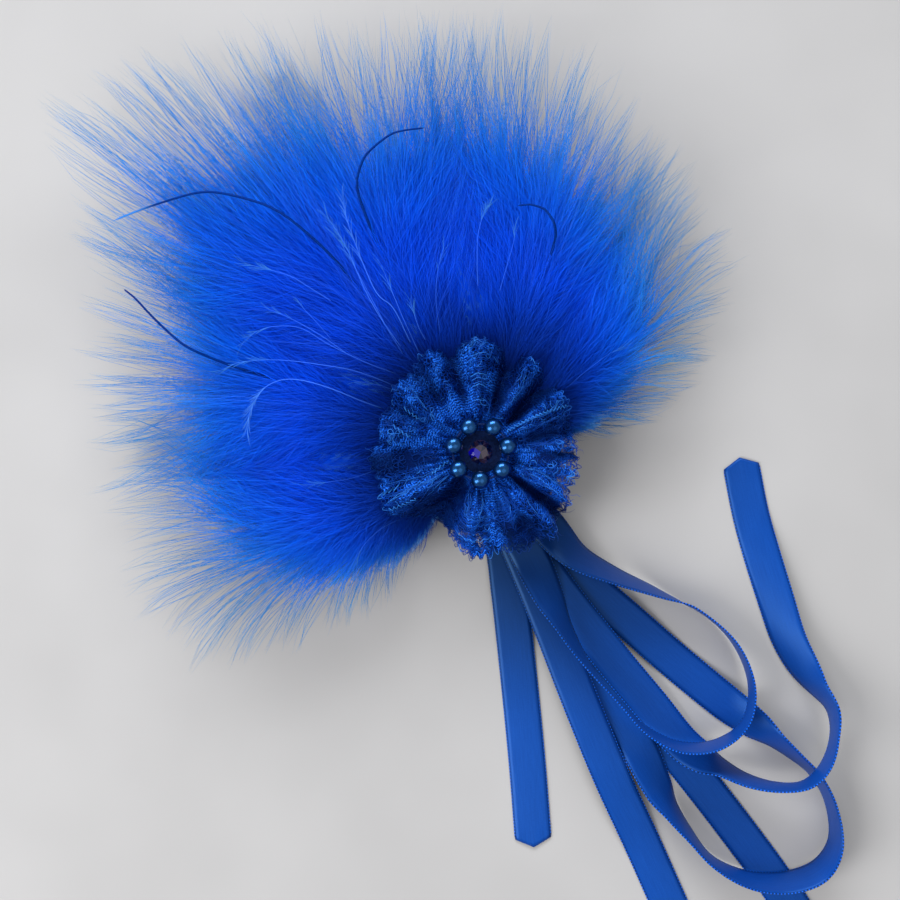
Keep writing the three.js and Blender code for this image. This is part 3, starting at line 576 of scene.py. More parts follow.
def quill_paths(plume, stations=40):
    """The rib of a plume, rising through the fluff so that its curled end shows on top."""
    name, _, _, upper, rows = plume
    share = np.linspace(0, 1, stations)
    angle, radius = quill_place(rows, share)
    bare = name not in ("plume_right", "plume_lower_left")
    storey = 0.3 + 0.68 * bare * smoothstep(0.15, 0.5, share) if upper else np.full(stations, 0.5)
    path = polar(radius, angle, storey_height(radius, storey, upper))
    for _ in range(3):
        path[1:-1] = (path[:-2] + 2 * path[1:-1] + path[2:]) / 4
    widths = np.interp(share, [0, 1], [quill_width, quill_tip_width])
    return path[None], widths[None]


# Loose pale barbs that lie on top of the fluff: the plume that carries each, its width, how many
# hairs its brushy end has, and its route as shares of the plume length.
wisps = [
    ("plume_left", 0.55, 46, [
        (-0.217, 0.096), (-0.26, 0.111), (-0.314, 0.133), (-0.367, 0.15), (-0.41, 0.156),
        (-0.442, 0.15), (-0.47, 0.133), (-0.489, 0.105), (-0.5, 0.079), (-0.504, 0.047)]),
    ("plume_top_left", 0.5, 30, [
        (-0.174, 0.229), (-0.213, 0.283), (-0.249, 0.347), (-0.292, 0.444), (-0.335, 0.512)]),
    ("plume_top_left", 0.55, 24, [
        (-0.153, 0.238), (-0.189, 0.309), (-0.228, 0.347), (-0.281, 0.476), (-0.299, 0.544)]),
    ("plume_hooked", 0.4, 26, [
        (-0.007, 0.358), (-0.009, 0.407), (-0.007, 0.465), (0.006, 0.514), (0.019, 0.534)]),
    ("plume_top_left", 0.4, 12, [
        (-0.185, 0.171), (-0.249, 0.193), (-0.324, 0.229), (-0.389, 0.266), (-0.453, 0.268),
        (-0.496, 0.251), (-0.521, 0.225)]),
    ("plume_left", 0.45, 22, [
        (-0.185, 0.144), (-0.26, 0.171), (-0.324, 0.184), (-0.431, 0.197), (-0.517, 0.193),
        (-0.566, 0.174)]),
    ("plume_top_left", 0.4, 20, [
        (-0.324, 0.326), (-0.367, 0.352), (-0.41, 0.377), (-0.464, 0.394), (-0.511, 0.407)]),
    ("plume_top_left", 0.4, 8, [
        (-0.17, 0.214), (-0.2, 0.262), (-0.234, 0.326), (-0.277, 0.407), (-0.311, 0.463)]),
    ("plume_top_left", 0.45, 6, [(-0.136, 0.219), (-0.164, 0.279), (-0.191, 0.343), (-0.217, 0.407)]),
    ("plume_top", 0.5, 10, [(-0.121, 0.244), (-0.136, 0.272), (-0.153, 0.326)]),
    ("plume_top_left", 0.35, 6, [(-0.324, 0.244), (-0.354, 0.279), (-0.382, 0.309), (-0.397, 0.33)]),
    ("plume_top_left", 0.4, 6, [(-0.292, 0.214), (-0.346, 0.251), (-0.41, 0.287), (-0.47, 0.313)]),
    ("plume_left", 0.4, 8, [(-0.142, 0.111), (-0.179, 0.129), (-0.217, 0.144), (-0.277, 0.154)]),
    ("plume_hooked", 0.35, 10, [(0.04, 0.347), (0.057, 0.407), (0.07, 0.454), (0.072, 0.484)]),
    ("plume_right", 0.3, 6, [(0.169, 0.122), (0.222, 0.171), (0.28, 0.214), (0.331, 0.236)]),
    ("plume_lower_left", 0.35, 6, [
        (-0.226, -0.039), (-0.277, -0.056), (-0.324, -0.064), (-0.389, -0.073)]),
    ("plume_lower_left", 0.35, 8, [
        (-0.174, -0.146), (-0.217, -0.167), (-0.256, -0.206), (-0.277, -0.257)]),
    ("plume_top", 0.35, 6, [(-0.089, 0.262), (-0.097, 0.326), (-0.093, 0.39), (-0.08, 0.442)]),
]


def smooth_run(rows, stations):
    """A smooth line through rows of numbers: each column read by a cubic with matched slopes."""
    rows = np.asarray(rows, float)
    at = np.linspace(0, len(rows) - 1, stations)
    index = np.minimum(at.astype(int), len(rows) - 2)
    t = (at - index)[:, None]
    slopes = np.gradient(rows, axis=0)
    return hermite(t, rows[index], slopes[index], rows[index + 1], slopes[index + 1])


def wisp_parts(name, draw):
    """Every loose barb of a plume: a bowed thread and, over its last third, a brush of hairs.

    A hair leaves the thread at a small angle to it and bends outwards.
    """
    parts = []
    for plume, width, hairs, route in wisps:
        if plume != name:
            continue
        run = smooth_run(np.array(route) * plume_length, 26)
        radius = np.linalg.norm(run, axis=1)
        share = np.linspace(0, 1, len(run))
        high = 0.72 + 0.22 * np.sin(np.pi * np.clip(share * 1.1, 0, 1))
        path = np.concatenate([run, storey_height(radius, high, True)[:, None]], 1)
        widths = 0.62 * width * (1 - 0.6 * share)[None]
        parts.append(thread_mesh(path[None], widths, 4, rim=rim_share(path[None]), tint=2.4 * width))
        start = draw.uniform(0.62, 1.0, hairs)
        index = start * (len(run) - 1)
        steps = np.arange(len(run))
        base = np.stack([np.interp(index, steps, path[:, i]) for i in range(3)], 1)
        ahead = unit(np.gradient(path, axis=0))
        ahead = unit(np.stack([np.interp(index, steps, ahead[:, i]) for i in range(3)], 1))
        side = left_of(ahead) * draw.choice([-1.0, 1.0], hairs)[:, None]
        reach = draw.uniform(3.0, 6.5, hairs)[:, None]
        lift = UP * draw.uniform(-0.1, 0.25, (hairs, 1))
        controls = np.stack([
            base,
            base + reach * 0.35 * (ahead + 0.12 * side),
            base + reach * 0.7 * (ahead + 0.2 * side + lift),
            base + reach * (ahead + 0.32 * side + lift),
        ], 1)
        hair_width, pale = (0.13, 1.6) if width > 0.54 else (0.09, 0.7)
        parts.append(thread_mesh(bend(controls, 5), hair_width, rim=0.9, tint=pale))
    return parts


down, rib, haze = down_finish(), quill_finish(), haze_finish()
draw = np.random.default_rng(41)


def dress_plume(plume):
    """One plume: its quill and every barb as one joined mesh."""
    name, upper = plume[0], plume[3]
    parts = []
    for kind in barb_kinds:
        count = kind["upper" if upper else "lower"]
        paths, widths, rim, tint = barb_paths(kind, count, plume, draw)
        parts.append(thread_mesh(paths, widths, rim=rim, tint=tint))
    parts += wisp_parts(name, draw)
    barb_faces = sum(len(face) for part in parts for face in part[1])
    parts.append(haze_sheet(plume))
    haze_faces = sum(len(face) for face in parts[-1][1])
    path, widths = quill_paths(plume)
    pale = smoothstep(0.84, 0.93, np.linspace(0, 1, widths.shape[1])) * (name == "plume_top_left")
    parts.append(thread_mesh(path, widths, 6, rim=0.0, tint=pale))
    corners, faces, columns = join_meshes(parts)
    piece = make_piece(name + "_down", corners, faces, (down, rib, haze), **columns)
    wears = np.zeros(len(piece.data.polygons), np.int32)
    wears[barb_faces:] = 2
    wears[barb_faces + haze_faces :] = 1
    piece.data.polygons.foreach_set("material_index", wears)
    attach(piece, "root")
    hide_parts(name)


for plume in plumes:
    dress_plume(plume)


# Satin ribbons

ribbon_wall = 0.35
ribbon_stride = 1.3
ribbon_columns = 9
ribbon_bow = 0.22
selvage_width = 0.5
# Stations that a pose is eased over, the line's fine steps, the length of the pointed end, and how
# far a strip that stands steeply is turned on edge.
pose_blend, fine_steps, point_run, edge_turn = 7, 3000, 8.0, 13.0
# Weave in millimetres: between warp lines, along them, between picks, and between hem loops.
warp_pitch, warp_length, pick_pitch, picot_pitch = 0.28, 9.0, 0.3, 1.1

# A root on the felt is (angle, layer, roll). A route's rows are x and y as shares of the ribbons'
# spread, the layer that the strip lies on, its lift as a share of the width, and its roll.
ribbons = [
    ("ribbon_tail_left", (-79, 1, 0), None, [
        (0.079, -0.316, 1, 0, 0), (0.1, -0.47, 1, 0, 0), (0.13, -0.74, 0, 0, 0),
        (0.16, -1.044, 0, 0, 0), (0.181, -1.309, 0, 0, 0)]),
    ("ribbon_tail_middle", (-70, 3, 0), None, [
        (0.137, -0.332, 3, 0, 0), (0.235, -0.57, 3, 0, 0), (0.34, -0.841, 3.1, 0, 0),
        (0.44, -1.085, 2.7, 0, 0), (0.554, -1.332, 0, 0, 0), (0.676, -1.607, 0, 0, 0)]),
    ("ribbon_tail_right", (-60, 0, 0), None, [
        (0.181, -0.366, 0, 0, 0), (0.323, -0.57, 0, 0, 0), (0.523, -0.841, 0, 0, 0),
        (0.742, -1.112, 0, 0, 0), (0.977, -1.421, 0, 0, 0), (1.099, -1.6, 0, 0, 0)]),
    ("ribbon_loop_small", (-48, 6, 180), (-67, 7, 0), [
        (0.217, -0.241, 6, 0, 178), (0.318, -0.346, 5, 0, 135), (0.445, -0.411, 3.2, 0, 115),
        (0.593, -0.471, 0.8, 0, 101), (0.74, -0.536, 0, 0, 79), (0.857, -0.646, 0, 0.1, 74),
        (0.904, -0.783, 0, 0.45, 76), (0.879, -0.903, 0.2, 0.5, 77), (0.786, -0.974, 1.2, 0.33, 70),
        (0.664, -0.98, 2.4, 0.25, 67), (0.551, -0.924, 2.4, 0.2, 70), (0.453, -0.823, 3.6, 0.17, 78),
        (0.374, -0.73, 4.9, 0, 71), (0.305, -0.628, 5.4, 0, 57), (0.236, -0.496, 6.2, 0, 40),
        (0.173, -0.361, 7, 0, 4)]),
    ("ribbon_loop_large", (-63, 4, 0), (-72, 2, 0), [
        (0.188, -0.296, 4, 0, 0), (0.303, -0.397, 4, 0, 0), (0.508, -0.575, 1.2, 0, 0),
        (0.662, -0.709, 0, 0, 0), (0.832, -0.848, 0, 0, 8), (0.95, -0.936, 0, 0, 42),
        (1.052, -1.016, 0, 0, 60), (1.126, -1.085, 0, 0, 67), (1.177, -1.18, 0, 0, 70),
        (1.192, -1.315, 0.3, 0, 66), (1.141, -1.401, 0.9, 0, 53), (1.036, -1.441, 1.1, 0, 53),
        (0.904, -1.434, 1.1, 0, 60), (0.782, -1.375, 0.4, 0, 70), (0.706, -1.288, 0, 0, 64),
        (0.621, -1.169, 0.6, 0, 45), (0.534, -0.991, 1, 0, 5), (0.4, -0.751, 1.1, 0, 0),
        (0.244, -0.493, 1.8, 0, 0), (0.156, -0.314, 2, 0, 0)]),
    ("ribbon_long_tail", (-66, 5, 0), None, [
        (0.168, -0.312, 5, 0, 0), (0.241, -0.43, 5.3, 0, 0), (0.425, -0.671, 3.6, 0, 0),
        (0.574, -0.851, 2.1, 0, -2), (0.697, -0.994, 1.3, 0, -18), (0.794, -1.047, 1, 0.1, -53),
        (0.891, -1.093, 0.3, 0.36, -64), (0.986, -1.109, 0.2, 0.66, -72),
        (1.07, -1.096, 0.2, 0.97, -77), (1.132, -1.041, 0.2, 0.99, -84), (1.172, -0.958, 0, 0.6, -78),
        (1.178, -0.864, 0, 0.25, -68), (1.119, -0.773, 0, 0.03, -46), (1.045, -0.638, 0, 0, -30),
        (1.001, -0.502, 0, 0, -18), (0.923, -0.231, 0, 0, 0), (0.886, -0.048, 0, 0, 0)]),
]


def satin_finish():
    """Satin: long fine warp lines, a faint cloudiness, a darker woven line inside each edge, and painted
    shade near the rosette.
    """
    satin = Finish(
        "dyed_satin_painted_shade", Roughness=0.34, Specular_IOR_Level=0.42, Specular_Tint=rgb(0.2, 0.5, 1.0),
        Anisotropic=0.8, Sheen_Weight=0.04, Sheen_Roughness=0.3, Sheen_Tint=rgb(0.15, 0.45, 1.0)
    )
    satin.to("Tangent", satin.node("Tangent", {"direction_type": "UV_MAP", "uv_map": "weave"}).outputs[0])
    across, run = satin.attribute("across"), satin.attribute("run")
    lane = satin.math("MULTIPLY", across, 0.5 * ribbon_width / warp_pitch)
    long_way, short_way = satin.math("DIVIDE", run, warp_length), satin.math("DIVIDE", run, pick_pitch)
    warp_place = satin.node("CombineXYZ", X=lane, Y=long_way, Z=0.0).outputs[0]
    warp = satin.grain(warp_place, 1.0, 2.0)
    pick_place = satin.node("CombineXYZ", X=satin.math("MULTIPLY", lane, 0.3), Y=short_way, Z=0.0).outputs[0]
    picks = satin.grain(pick_place, 1.0, 1.0)
    grain = satin.math("ADD", satin.math("MULTIPLY", warp, 0.65), satin.math("MULTIPLY", picks, 0.35))
    dyed = satin.ramp(grain, [(0.25, 0.002, 0.041, 0.26), (0.75, 0.005, 0.067, 0.37)])
    edge = satin.math("ABSOLUTE", across)
    line = satin.range(edge, 0.86, 0.92, 1.0, 0.4)
    picot = satin.math("SINE", satin.math("MULTIPLY", run, 2 * math.pi / picot_pitch))
    dots = satin.range(picot, -0.3, 0.6, 0.35, 2.6)
    hem = satin.range(edge, 0.95, 0.98, 0.0, 1.0)
    lined = satin.math("MAXIMUM", line, satin.math("MULTIPLY", hem, dots))
    # Painted shade: the satin is darkened close to the rosette, where its shadow falls.
    near = satin.use(rosette_shade, Start=0.03, End=0.095, Dark=0.2)
    satin.to("Base Color", satin.dim(dyed, satin.math("MULTIPLY", lined, near)))
    satin.bump(grain, 0.02, 0.4)
    return satin.material


def ribbon_run(rows, at):
    """A centripetal Catmull-Rom line through the rows' x and y.

    Between two points it is the cubic whose slopes follow the square roots of the distances.
    """
    points = rows[:, :2]
    padded = np.concatenate([[2 * points[0] - points[1]], points, [2 * points[-1] - points[-2]]])
    index = np.minimum(at.astype(int), len(points) - 2)
    a, b, c, d = (padded[index + i] for i in range(4))
    ab, bc, cd = (np.linalg.norm(q - p, axis=1, keepdims=True) ** 0.5 for p, q in ((a, b), (b, c), (c, d)))
    leave = ((b - a) / ab - (c - a) / (ab + bc) + (c - b) / bc) * bc
    arrive = ((c - b) / bc - (d - b) / (bc + cd) + (d - c) / cd) * bc
    return hermite((at - index)[:, None], b, leave, c, arrive)


def ribbon_stations(root, root_end, route):
    """Centre, across and face directions, and run of a strip at even steps of its length.

    Layer, lift and roll are read in straight lines between the rows and then eased. A roll of
    36 to 88 degrees is made steeper by smooth steps, at most by edge_turn.
    """
    def root_row(angle, layer, roll):
        """A row on the felt, where the strip is sewn down."""
        x, y = polar(felt_radius * ribbon_root_share, angle, 0.0)[:2]
        return [x, y, layer, 0, roll]

    rows = [root_row(*root)] + [[x * ribbon_spread, y * ribbon_spread, *rest] for x, y, *rest in route]
    if root_end:
        rows.append(root_row(*root_end))
    rows = np.array(rows, float)
    fine = np.linspace(0, len(rows) - 1, fine_steps)
    run = np.concatenate([[0], np.cumsum(np.linalg.norm(np.diff(ribbon_run(rows, fine), axis=0), axis=1))])
    count = int(run[-1] / ribbon_stride)
    at = np.interp(np.linspace(0, run[-1], count + 1), run, fine)
    flat = ribbon_run(rows, at)
    pose = np.stack([np.interp(at, np.arange(len(rows)), rows[:, i]) for i in (2, 3, 4)], 1)
    window = np.hanning(2 * pose_blend + 1)
    window /= window.sum()
    wide = np.pad(pose, ((pose_blend, pose_blend), (0, 0)), "edge")
    layer, lift, roll = (np.convolve(wide[:, i], window, "valid") for i in range(3))
    steep = np.abs(roll)
    roll = roll + np.sign(roll) * edge_turn * smoothstep(36, 52, steep) * (1 - smoothstep(74, 88, steep))
    ahead = unit(np.gradient(np.concatenate([flat, np.zeros((len(flat), 1))], 1), axis=0))
    turn = np.radians(roll)[:, None]
    across = np.cos(turn) * left_of(ahead) + np.sin(turn) * UP
    face = np.cross(ahead, across)
    down_reach = ribbon_width / 2 * np.abs(across[:, 2]) + ribbon_wall / 2 * np.abs(face[:, 2])
    height = layer * layer_pitch + lift * ribbon_width + down_reach
    centre = np.concatenate([flat, height[:, None]], 1)
    return centre, ahead, across, face, np.linspace(0, run[-1], count + 1)


def ribbon_mesh(root, root_end, route):
    """A thin strip: each station is a ring of bowed upper and lower rows of corners.

    A point is centre + u w/2 across + (bow (1 - u^2) +- wall/2) face. The free end runs on to a
    shallow point, by ribbon_point (1 - |u|) over its last stations.
    """
    centre, ahead, across, face, run = ribbon_stations(root, root_end, route)
    u = np.linspace(-1, 1, ribbon_columns)
    ring_u = np.concatenate([u, u[::-1]])
    wall = np.concatenate([np.full(ribbon_columns, 0.5), np.full(ribbon_columns, -0.5)]) * ribbon_wall
    ripple = 0.12 * np.sin(run / 11.0) + 0.08 * np.sin(run / 5.3 + 1.0)
    bow = ribbon_bow * (1 - ring_u**2)[None] * np.sign(face[:, 2:] + 1e-6)
    spot = centre[:, None] + ring_u[None, :, None] * ribbon_width / 2 * across[:, None]
    spot = spot + (
        bow + wall[None] + ripple[:, None] * (1 - ring_u**2)[None] * 0.5
    )[..., None] * face[:, None]
    if root_end is None:
        near_end = smoothstep(run[-1] - point_run, run[-1], run)
        spot = spot + (
            near_end[:, None] * ribbon_point * (1 - np.abs(ring_u))[None]
        )[..., None] * ahead[:, None]
    stations, size = spot.shape[:2]
    low = np.arange(ribbon_columns - 1)
    cap = np.stack([low, low + 1, size - 2 - low, size - 1 - low], -1)
    faces = [ring_faces(stations, size)[:, ::-1], cap, (cap + (stations - 1) * size)[:, ::-1]]
    columns = {
        "across": np.broadcast_to(ring_u * 0.94, (stations, size)).ravel(),
        "run": np.broadcast_to(run[:, None], (stations, size)).ravel(),
    }
    edges = np.stack([centre - across * ribbon_width / 2, centre + across * ribbon_width / 2])
    selvage = thread_mesh(edges, selvage_width, 4, across=1.0, run=run)
    return join_meshes([(spot.reshape(-1, 3), faces, columns), selvage]), run[-1]


satin = satin_finish()
for name, root, root_end, route in ribbons:
    (corners, faces, columns), ribbon_length = ribbon_mesh(root, root_end, route)
    strip = make_piece(name + "_satin", corners, faces, [satin], **columns)
    corner = np.empty(len(strip.data.loops), np.int32)
    strip.data.loops.foreach_get("vertex_index", corner)
    weave = np.stack([columns["across"], columns["run"] / ribbon_width], 1)[corner]
    strip.data.uv_layers.new(name="weave").data.foreach_set("uv", weave.ravel().astype(np.float32))
    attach(strip, "root")
    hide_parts(name)


# Lace rosette

# Pleats of the gathered lace: angle and height of each crest, rim there, and the height and rim
# of the valley after it. Heights are shares of the pleat height, rims of the rosette radius.
pleats = [
    (-10, 0.7, 0.95, -0.9, 0.9), (33, 1, 0.97, -0.7, 0.93), (62, 0.8, 1.02, -0.8, 1),
    (92, 0.9, 1.08, -1, 1.02), (118, 0.7, 1.1, -0.8, 1.02), (140, 0.8, 1.05, -0.9, 0.98),
    (160, 0.6, 1.02, -1, 1), (186, 0.8, 1.08, -0.7, 1.02), (213, 1, 1.08, -1, 0.76),
    (264, 0.8, 1.02, -0.5, 0.98), (293, 0.6, 1.05, -0.4, 1), (310, 0.9, 1.08, -0.9, 0.98),
    (330, 0.5, 1, -0.6, 0.92),
]
# From the gathered middle to the rim: share of the way, rise of the wall, strength of the pleats.
lace_out, lace_rises, lace_ruffles = [0, 0.1, 0.32, 0.66, 1], [0, 0.3, 0.55, 0.85, 1], [0, 0.05, 0.35, 0.8, 1]
lace_wall = 0.35
lace_sectors, lace_rings = 480, 34
lace_cut = (27.0, 190.0)
# Furrows between the folds, sunk into the lace and darkened with painted shade: angle, depth, half width in
# degrees, where each starts on the way out.
furrows = [
    (71, 4.4, 5, 0.2), (46, 4.8, 5, 0.25), (17, 2.4, 6, 0.3), (-3, 2.0, 4, 0.4), (-37, 3.2, 4, 0.2),
    (-60, 3.4, 7, 0.62), (238, 5.2, 9, 0.15), (289, 1.6, 4, 0.25), (187, 3.0, 6, 0.3),
    (128, 1.3, 6, 0.45), (108, 2.0, 4, 0.3), (157, 1.0, 6, 0.5), (222, 2.6, 4, 0.5),
]
lace_draw = np.random.default_rng(7)
crumple_waves = lace_draw.uniform(-1, 1, (9, 2)) * np.array([24.0, 9.0])
crumple_turns = lace_draw.uniform(0, full_wave, 9)


def pleat_wave(angle):
    """Height and rim of the pleats at an angle, eased by a half cosine from crest to valley."""
    crests = np.array([pleat[0] for pleat in pleats] + [pleats[0][0] + TURN])
    valleys = (crests[1:] + crests[:-1]) / 2
    stops = np.sort(np.concatenate([crests, valleys]))
    heights = np.array([value for pleat in pleats for value in (pleat[1], pleat[3])] + [pleats[0][1]])
    rims = np.array([value for pleat in pleats for value in (pleat[2], pleat[4])] + [pleats[0][2]])
    turned = stops[0] + np.mod(angle - stops[0], TURN)
    index = np.clip(np.searchsorted(stops, turned, "right") - 1, 0, len(stops) - 2)
    share = (turned - stops[index]) / (stops[index + 1] - stops[index])
    ease = (1 - np.cos(share * np.pi)) / 2
    return (column[index] * (1 - ease) + column[index + 1] * ease for column in (heights, rims))


def furrow_depth(out, angle):
    """Depth of the furrows, which also sets their painted shade: each a bell across its angle, that opens
    outwards smoothly.
    """
    depth = np.zeros(np.broadcast(out, angle).shape)
    for middle, deep, half, start in furrows:
        apart = (angle - middle + TURN / 2) % TURN - TURN / 2
        depth = depth + 1.15 * deep * np.exp(-((apart / half / 1.3) ** 2)) * smoothstep(
            start - 0.1, start + 0.2, out
        )
    return depth


def lace_place(out, angle, lift=0.0):
    """A point of the lace at a share of the way out and an angle, lifted off it by millimetres.

    The wall rises from the gathers by a table, with the pleats' wave, a finer gather that fades
    outwards, small folds near the rim, a crumple of nine crossed sines, and a scalloped rim that
    bends back down.
    """
    out, angle = np.broadcast_arrays(np.asarray(out, float), np.asarray(angle, float))
    height, rim = pleat_wave(angle + 3.0 * np.sin(out * 5.0 + angle / 23.0) * out)
    rise = np.interp(out, lace_out, lace_rises)
    ruffle = np.interp(out, lace_out, lace_ruffles)
    turn = np.radians(angle)
    gather = 0.28 * np.sin(52 * turn) * smoothstep(0.02, 0.12, out) * (1 - smoothstep(0.3, 0.6, out))
    folds = 0.55 * np.sin(27 * turn + 4.0 * out) * smoothstep(0.35, 0.95, out)
    crumple = np.sin(np.stack([out, turn], -1) @ crumple_waves.T + crumple_turns).sum(-1)
    bend_back = -2.2 * smoothstep(0.82, 1.0, out) * (0.5 + 0.5 * np.sin(5 * turn))
    scallop = 0.022 * np.abs(np.sin(33 * turn)) + 0.012 * np.sin(71 * turn)
    radius = gather_radius + (0.975 * rosette_radius * (rim + scallop * out) - gather_radius) * out
    z = lace_bottom + 0.6 + lace_rise * rise + pleat_height * ruffle * height - furrow_depth(out, angle)
    z = z + gather + folds + 0.16 * crumple * out + bend_back * 0.6
    return polar(radius, angle, z + lift)


def lace_finish():
    """Lace in blue dye: a fine open net and dense motifs with ribs; painted shade makes it near black in the
    furrows.
    """
    lace = Finish("dyed_lace_painted_shade", Roughness=0.6, Specular_IOR_Level=0.12, Specular_Tint=rgb(0.2, 0.45, 1.0))
    around, out, deep = lace.attribute("around"), lace.attribute("out"), lace.attribute("deep")
    across = lace.math("MULTIPLY", out, lace_cut[0])
    cloth_place = lace.node("CombineXYZ", X=around, Y=across, Z=0.0).outputs[0]
    motif = lace.range(lace.grain(cloth_place, 0.16, 1.5), 0.46, 0.54, 0.0, 1.0)
    cells = lace.node(
        "TexVoronoi", {"feature": "DISTANCE_TO_EDGE"}, Vector=cloth_place, Scale=0.95
    ).outputs["Distance"]
    net = lace.range(cells, 0.05, 0.13, 1.0, 0.0)
    rib = lace.math("SINE", lace.math("MULTIPLY", across, 2 * math.pi / 0.85))
    ribbed = lace.math("ADD", lace.math("MULTIPLY", rib, 0.09), lace.grain(cloth_place, 2.2, 3.0))
    cloth = lace.range(ribbed, 0.42, 0.68, 0.08, 1.0)
    thread = lace.math(
        "ADD", lace.math("MULTIPLY", motif, cloth), lace.math("MULTIPLY", net, 0.5), clamp=True
    )
    dyed = lace.ramp(thread, [
        (0.0, 0.0, 0.003, 0.035), (0.3, 0.001, 0.017, 0.15), (0.65, 0.002, 0.06, 0.47),
        (1.0, 0.02, 0.19, 0.92)])
    # Painted shade: deep in the furrows the lace is mixed towards near black blue.
    lace.to("Base Color", lace.mix(deep, dyed, rgb(0.0, 0.005, 0.055)))
    filled = lace.math("MAXIMUM", motif, net)
    inside = lace.range(out, 0.6, 0.85, 1.0, 0.0)
    lace.to("Alpha", lace.math("MAXIMUM", filled, inside))
    lace.bump(thread, 0.28, 0.9)
    return lace.material


def lace_sheet():
    """The lace wall: the lace surface and its copy a wall lower, joined at the rim and the middle."""
    angle = np.arange(lace_sectors) * TURN / lace_sectors
    out = np.linspace(0, 1, lace_rings) ** 0.85
    grid_out, grid_angle = np.meshgrid(out, angle, indexing="ij")
    top = lace_place(grid_out, grid_angle)
    low = top - lace_wall * UP
    corners = np.concatenate([top.reshape(-1, 3), low.reshape(-1, 3)])
    upper = np.roll(ring_faces(lace_rings, lace_sectors)[:, ::-1], 1, axis=1)
    half = lace_rings * lace_sectors
    lower = upper[:, ::-1] + half
    i = np.arange(lace_sectors)
    after = (i + 1) % lace_sectors
    last = half - lace_sectors
    rim = np.stack([last + i, last + half + i, last + half + after, last + after], -1)
    middle = np.stack([after, half + after, half + i, i], -1)
    around = np.tile((grid_angle / TURN * lace_cut[1]).ravel(), 2)
    # How far into a furrow each corner lies, for the painted shade there.
    deep = np.clip(furrow_depth(grid_out, grid_angle) / 2.5, 0, 0.92)
    columns = {"around": around, "out": np.tile(grid_out.ravel(), 2), "deep": np.tile(deep.ravel(), 2)}
    return corners, [upper, lower, rim, middle], columns


# Close rows of raised cord on the lace: the angle of the patch, half its width in degrees, where it
# starts and ends on the way out, and how many cords it has.
rib_patches = [
    (92, 7, 0.3, 0.86, 24), (264, 14, 0.55, 0.93, 17), (292, 8, 0.4, 0.62, 7), (345, 4, 0.72, 0.95, 8),
]
# Fine threads that run outwards along a fold: middle angle, half width, start, end, how many.
drawn_patches = [
    (264, 11, 0.2, 0.58, 16), (208, 12, 0.2, 0.96, 24), (20, 15, 0.3, 0.95, 26),
    (92, 14, 0.84, 1.05, 24), (60, 6, 0.35, 0.9, 12), (302, 14, 0.25, 0.8, 20), (335, 9, 0.3, 0.9, 16),
    (146, 22, 0.5, 1.0, 30),
]
# Bright looped edges that run outwards along a fold: angle at the middle, at the rim, start, end.
picot_folds = [
    (38, 28, 0.16, 1.0), (203, 203, 0.82, 1.02), (216, 212, 0.66, 1.0), (-8, -14, 0.8, 1.0),
    (152, 150, 0.62, 0.86), (168, 163, 0.62, 0.86), (196, 205, 0.14, 0.4),
]


def lace_shift(out, angle, right, forth):
    """Way out and angle on the lace of lines that run some millimetres out and round from a spot."""
    radius = gather_radius + (rosette_radius - gather_radius) * out
    return out[:, None] + right / lace_cut[0], angle[:, None] + np.degrees(forth / radius[:, None])


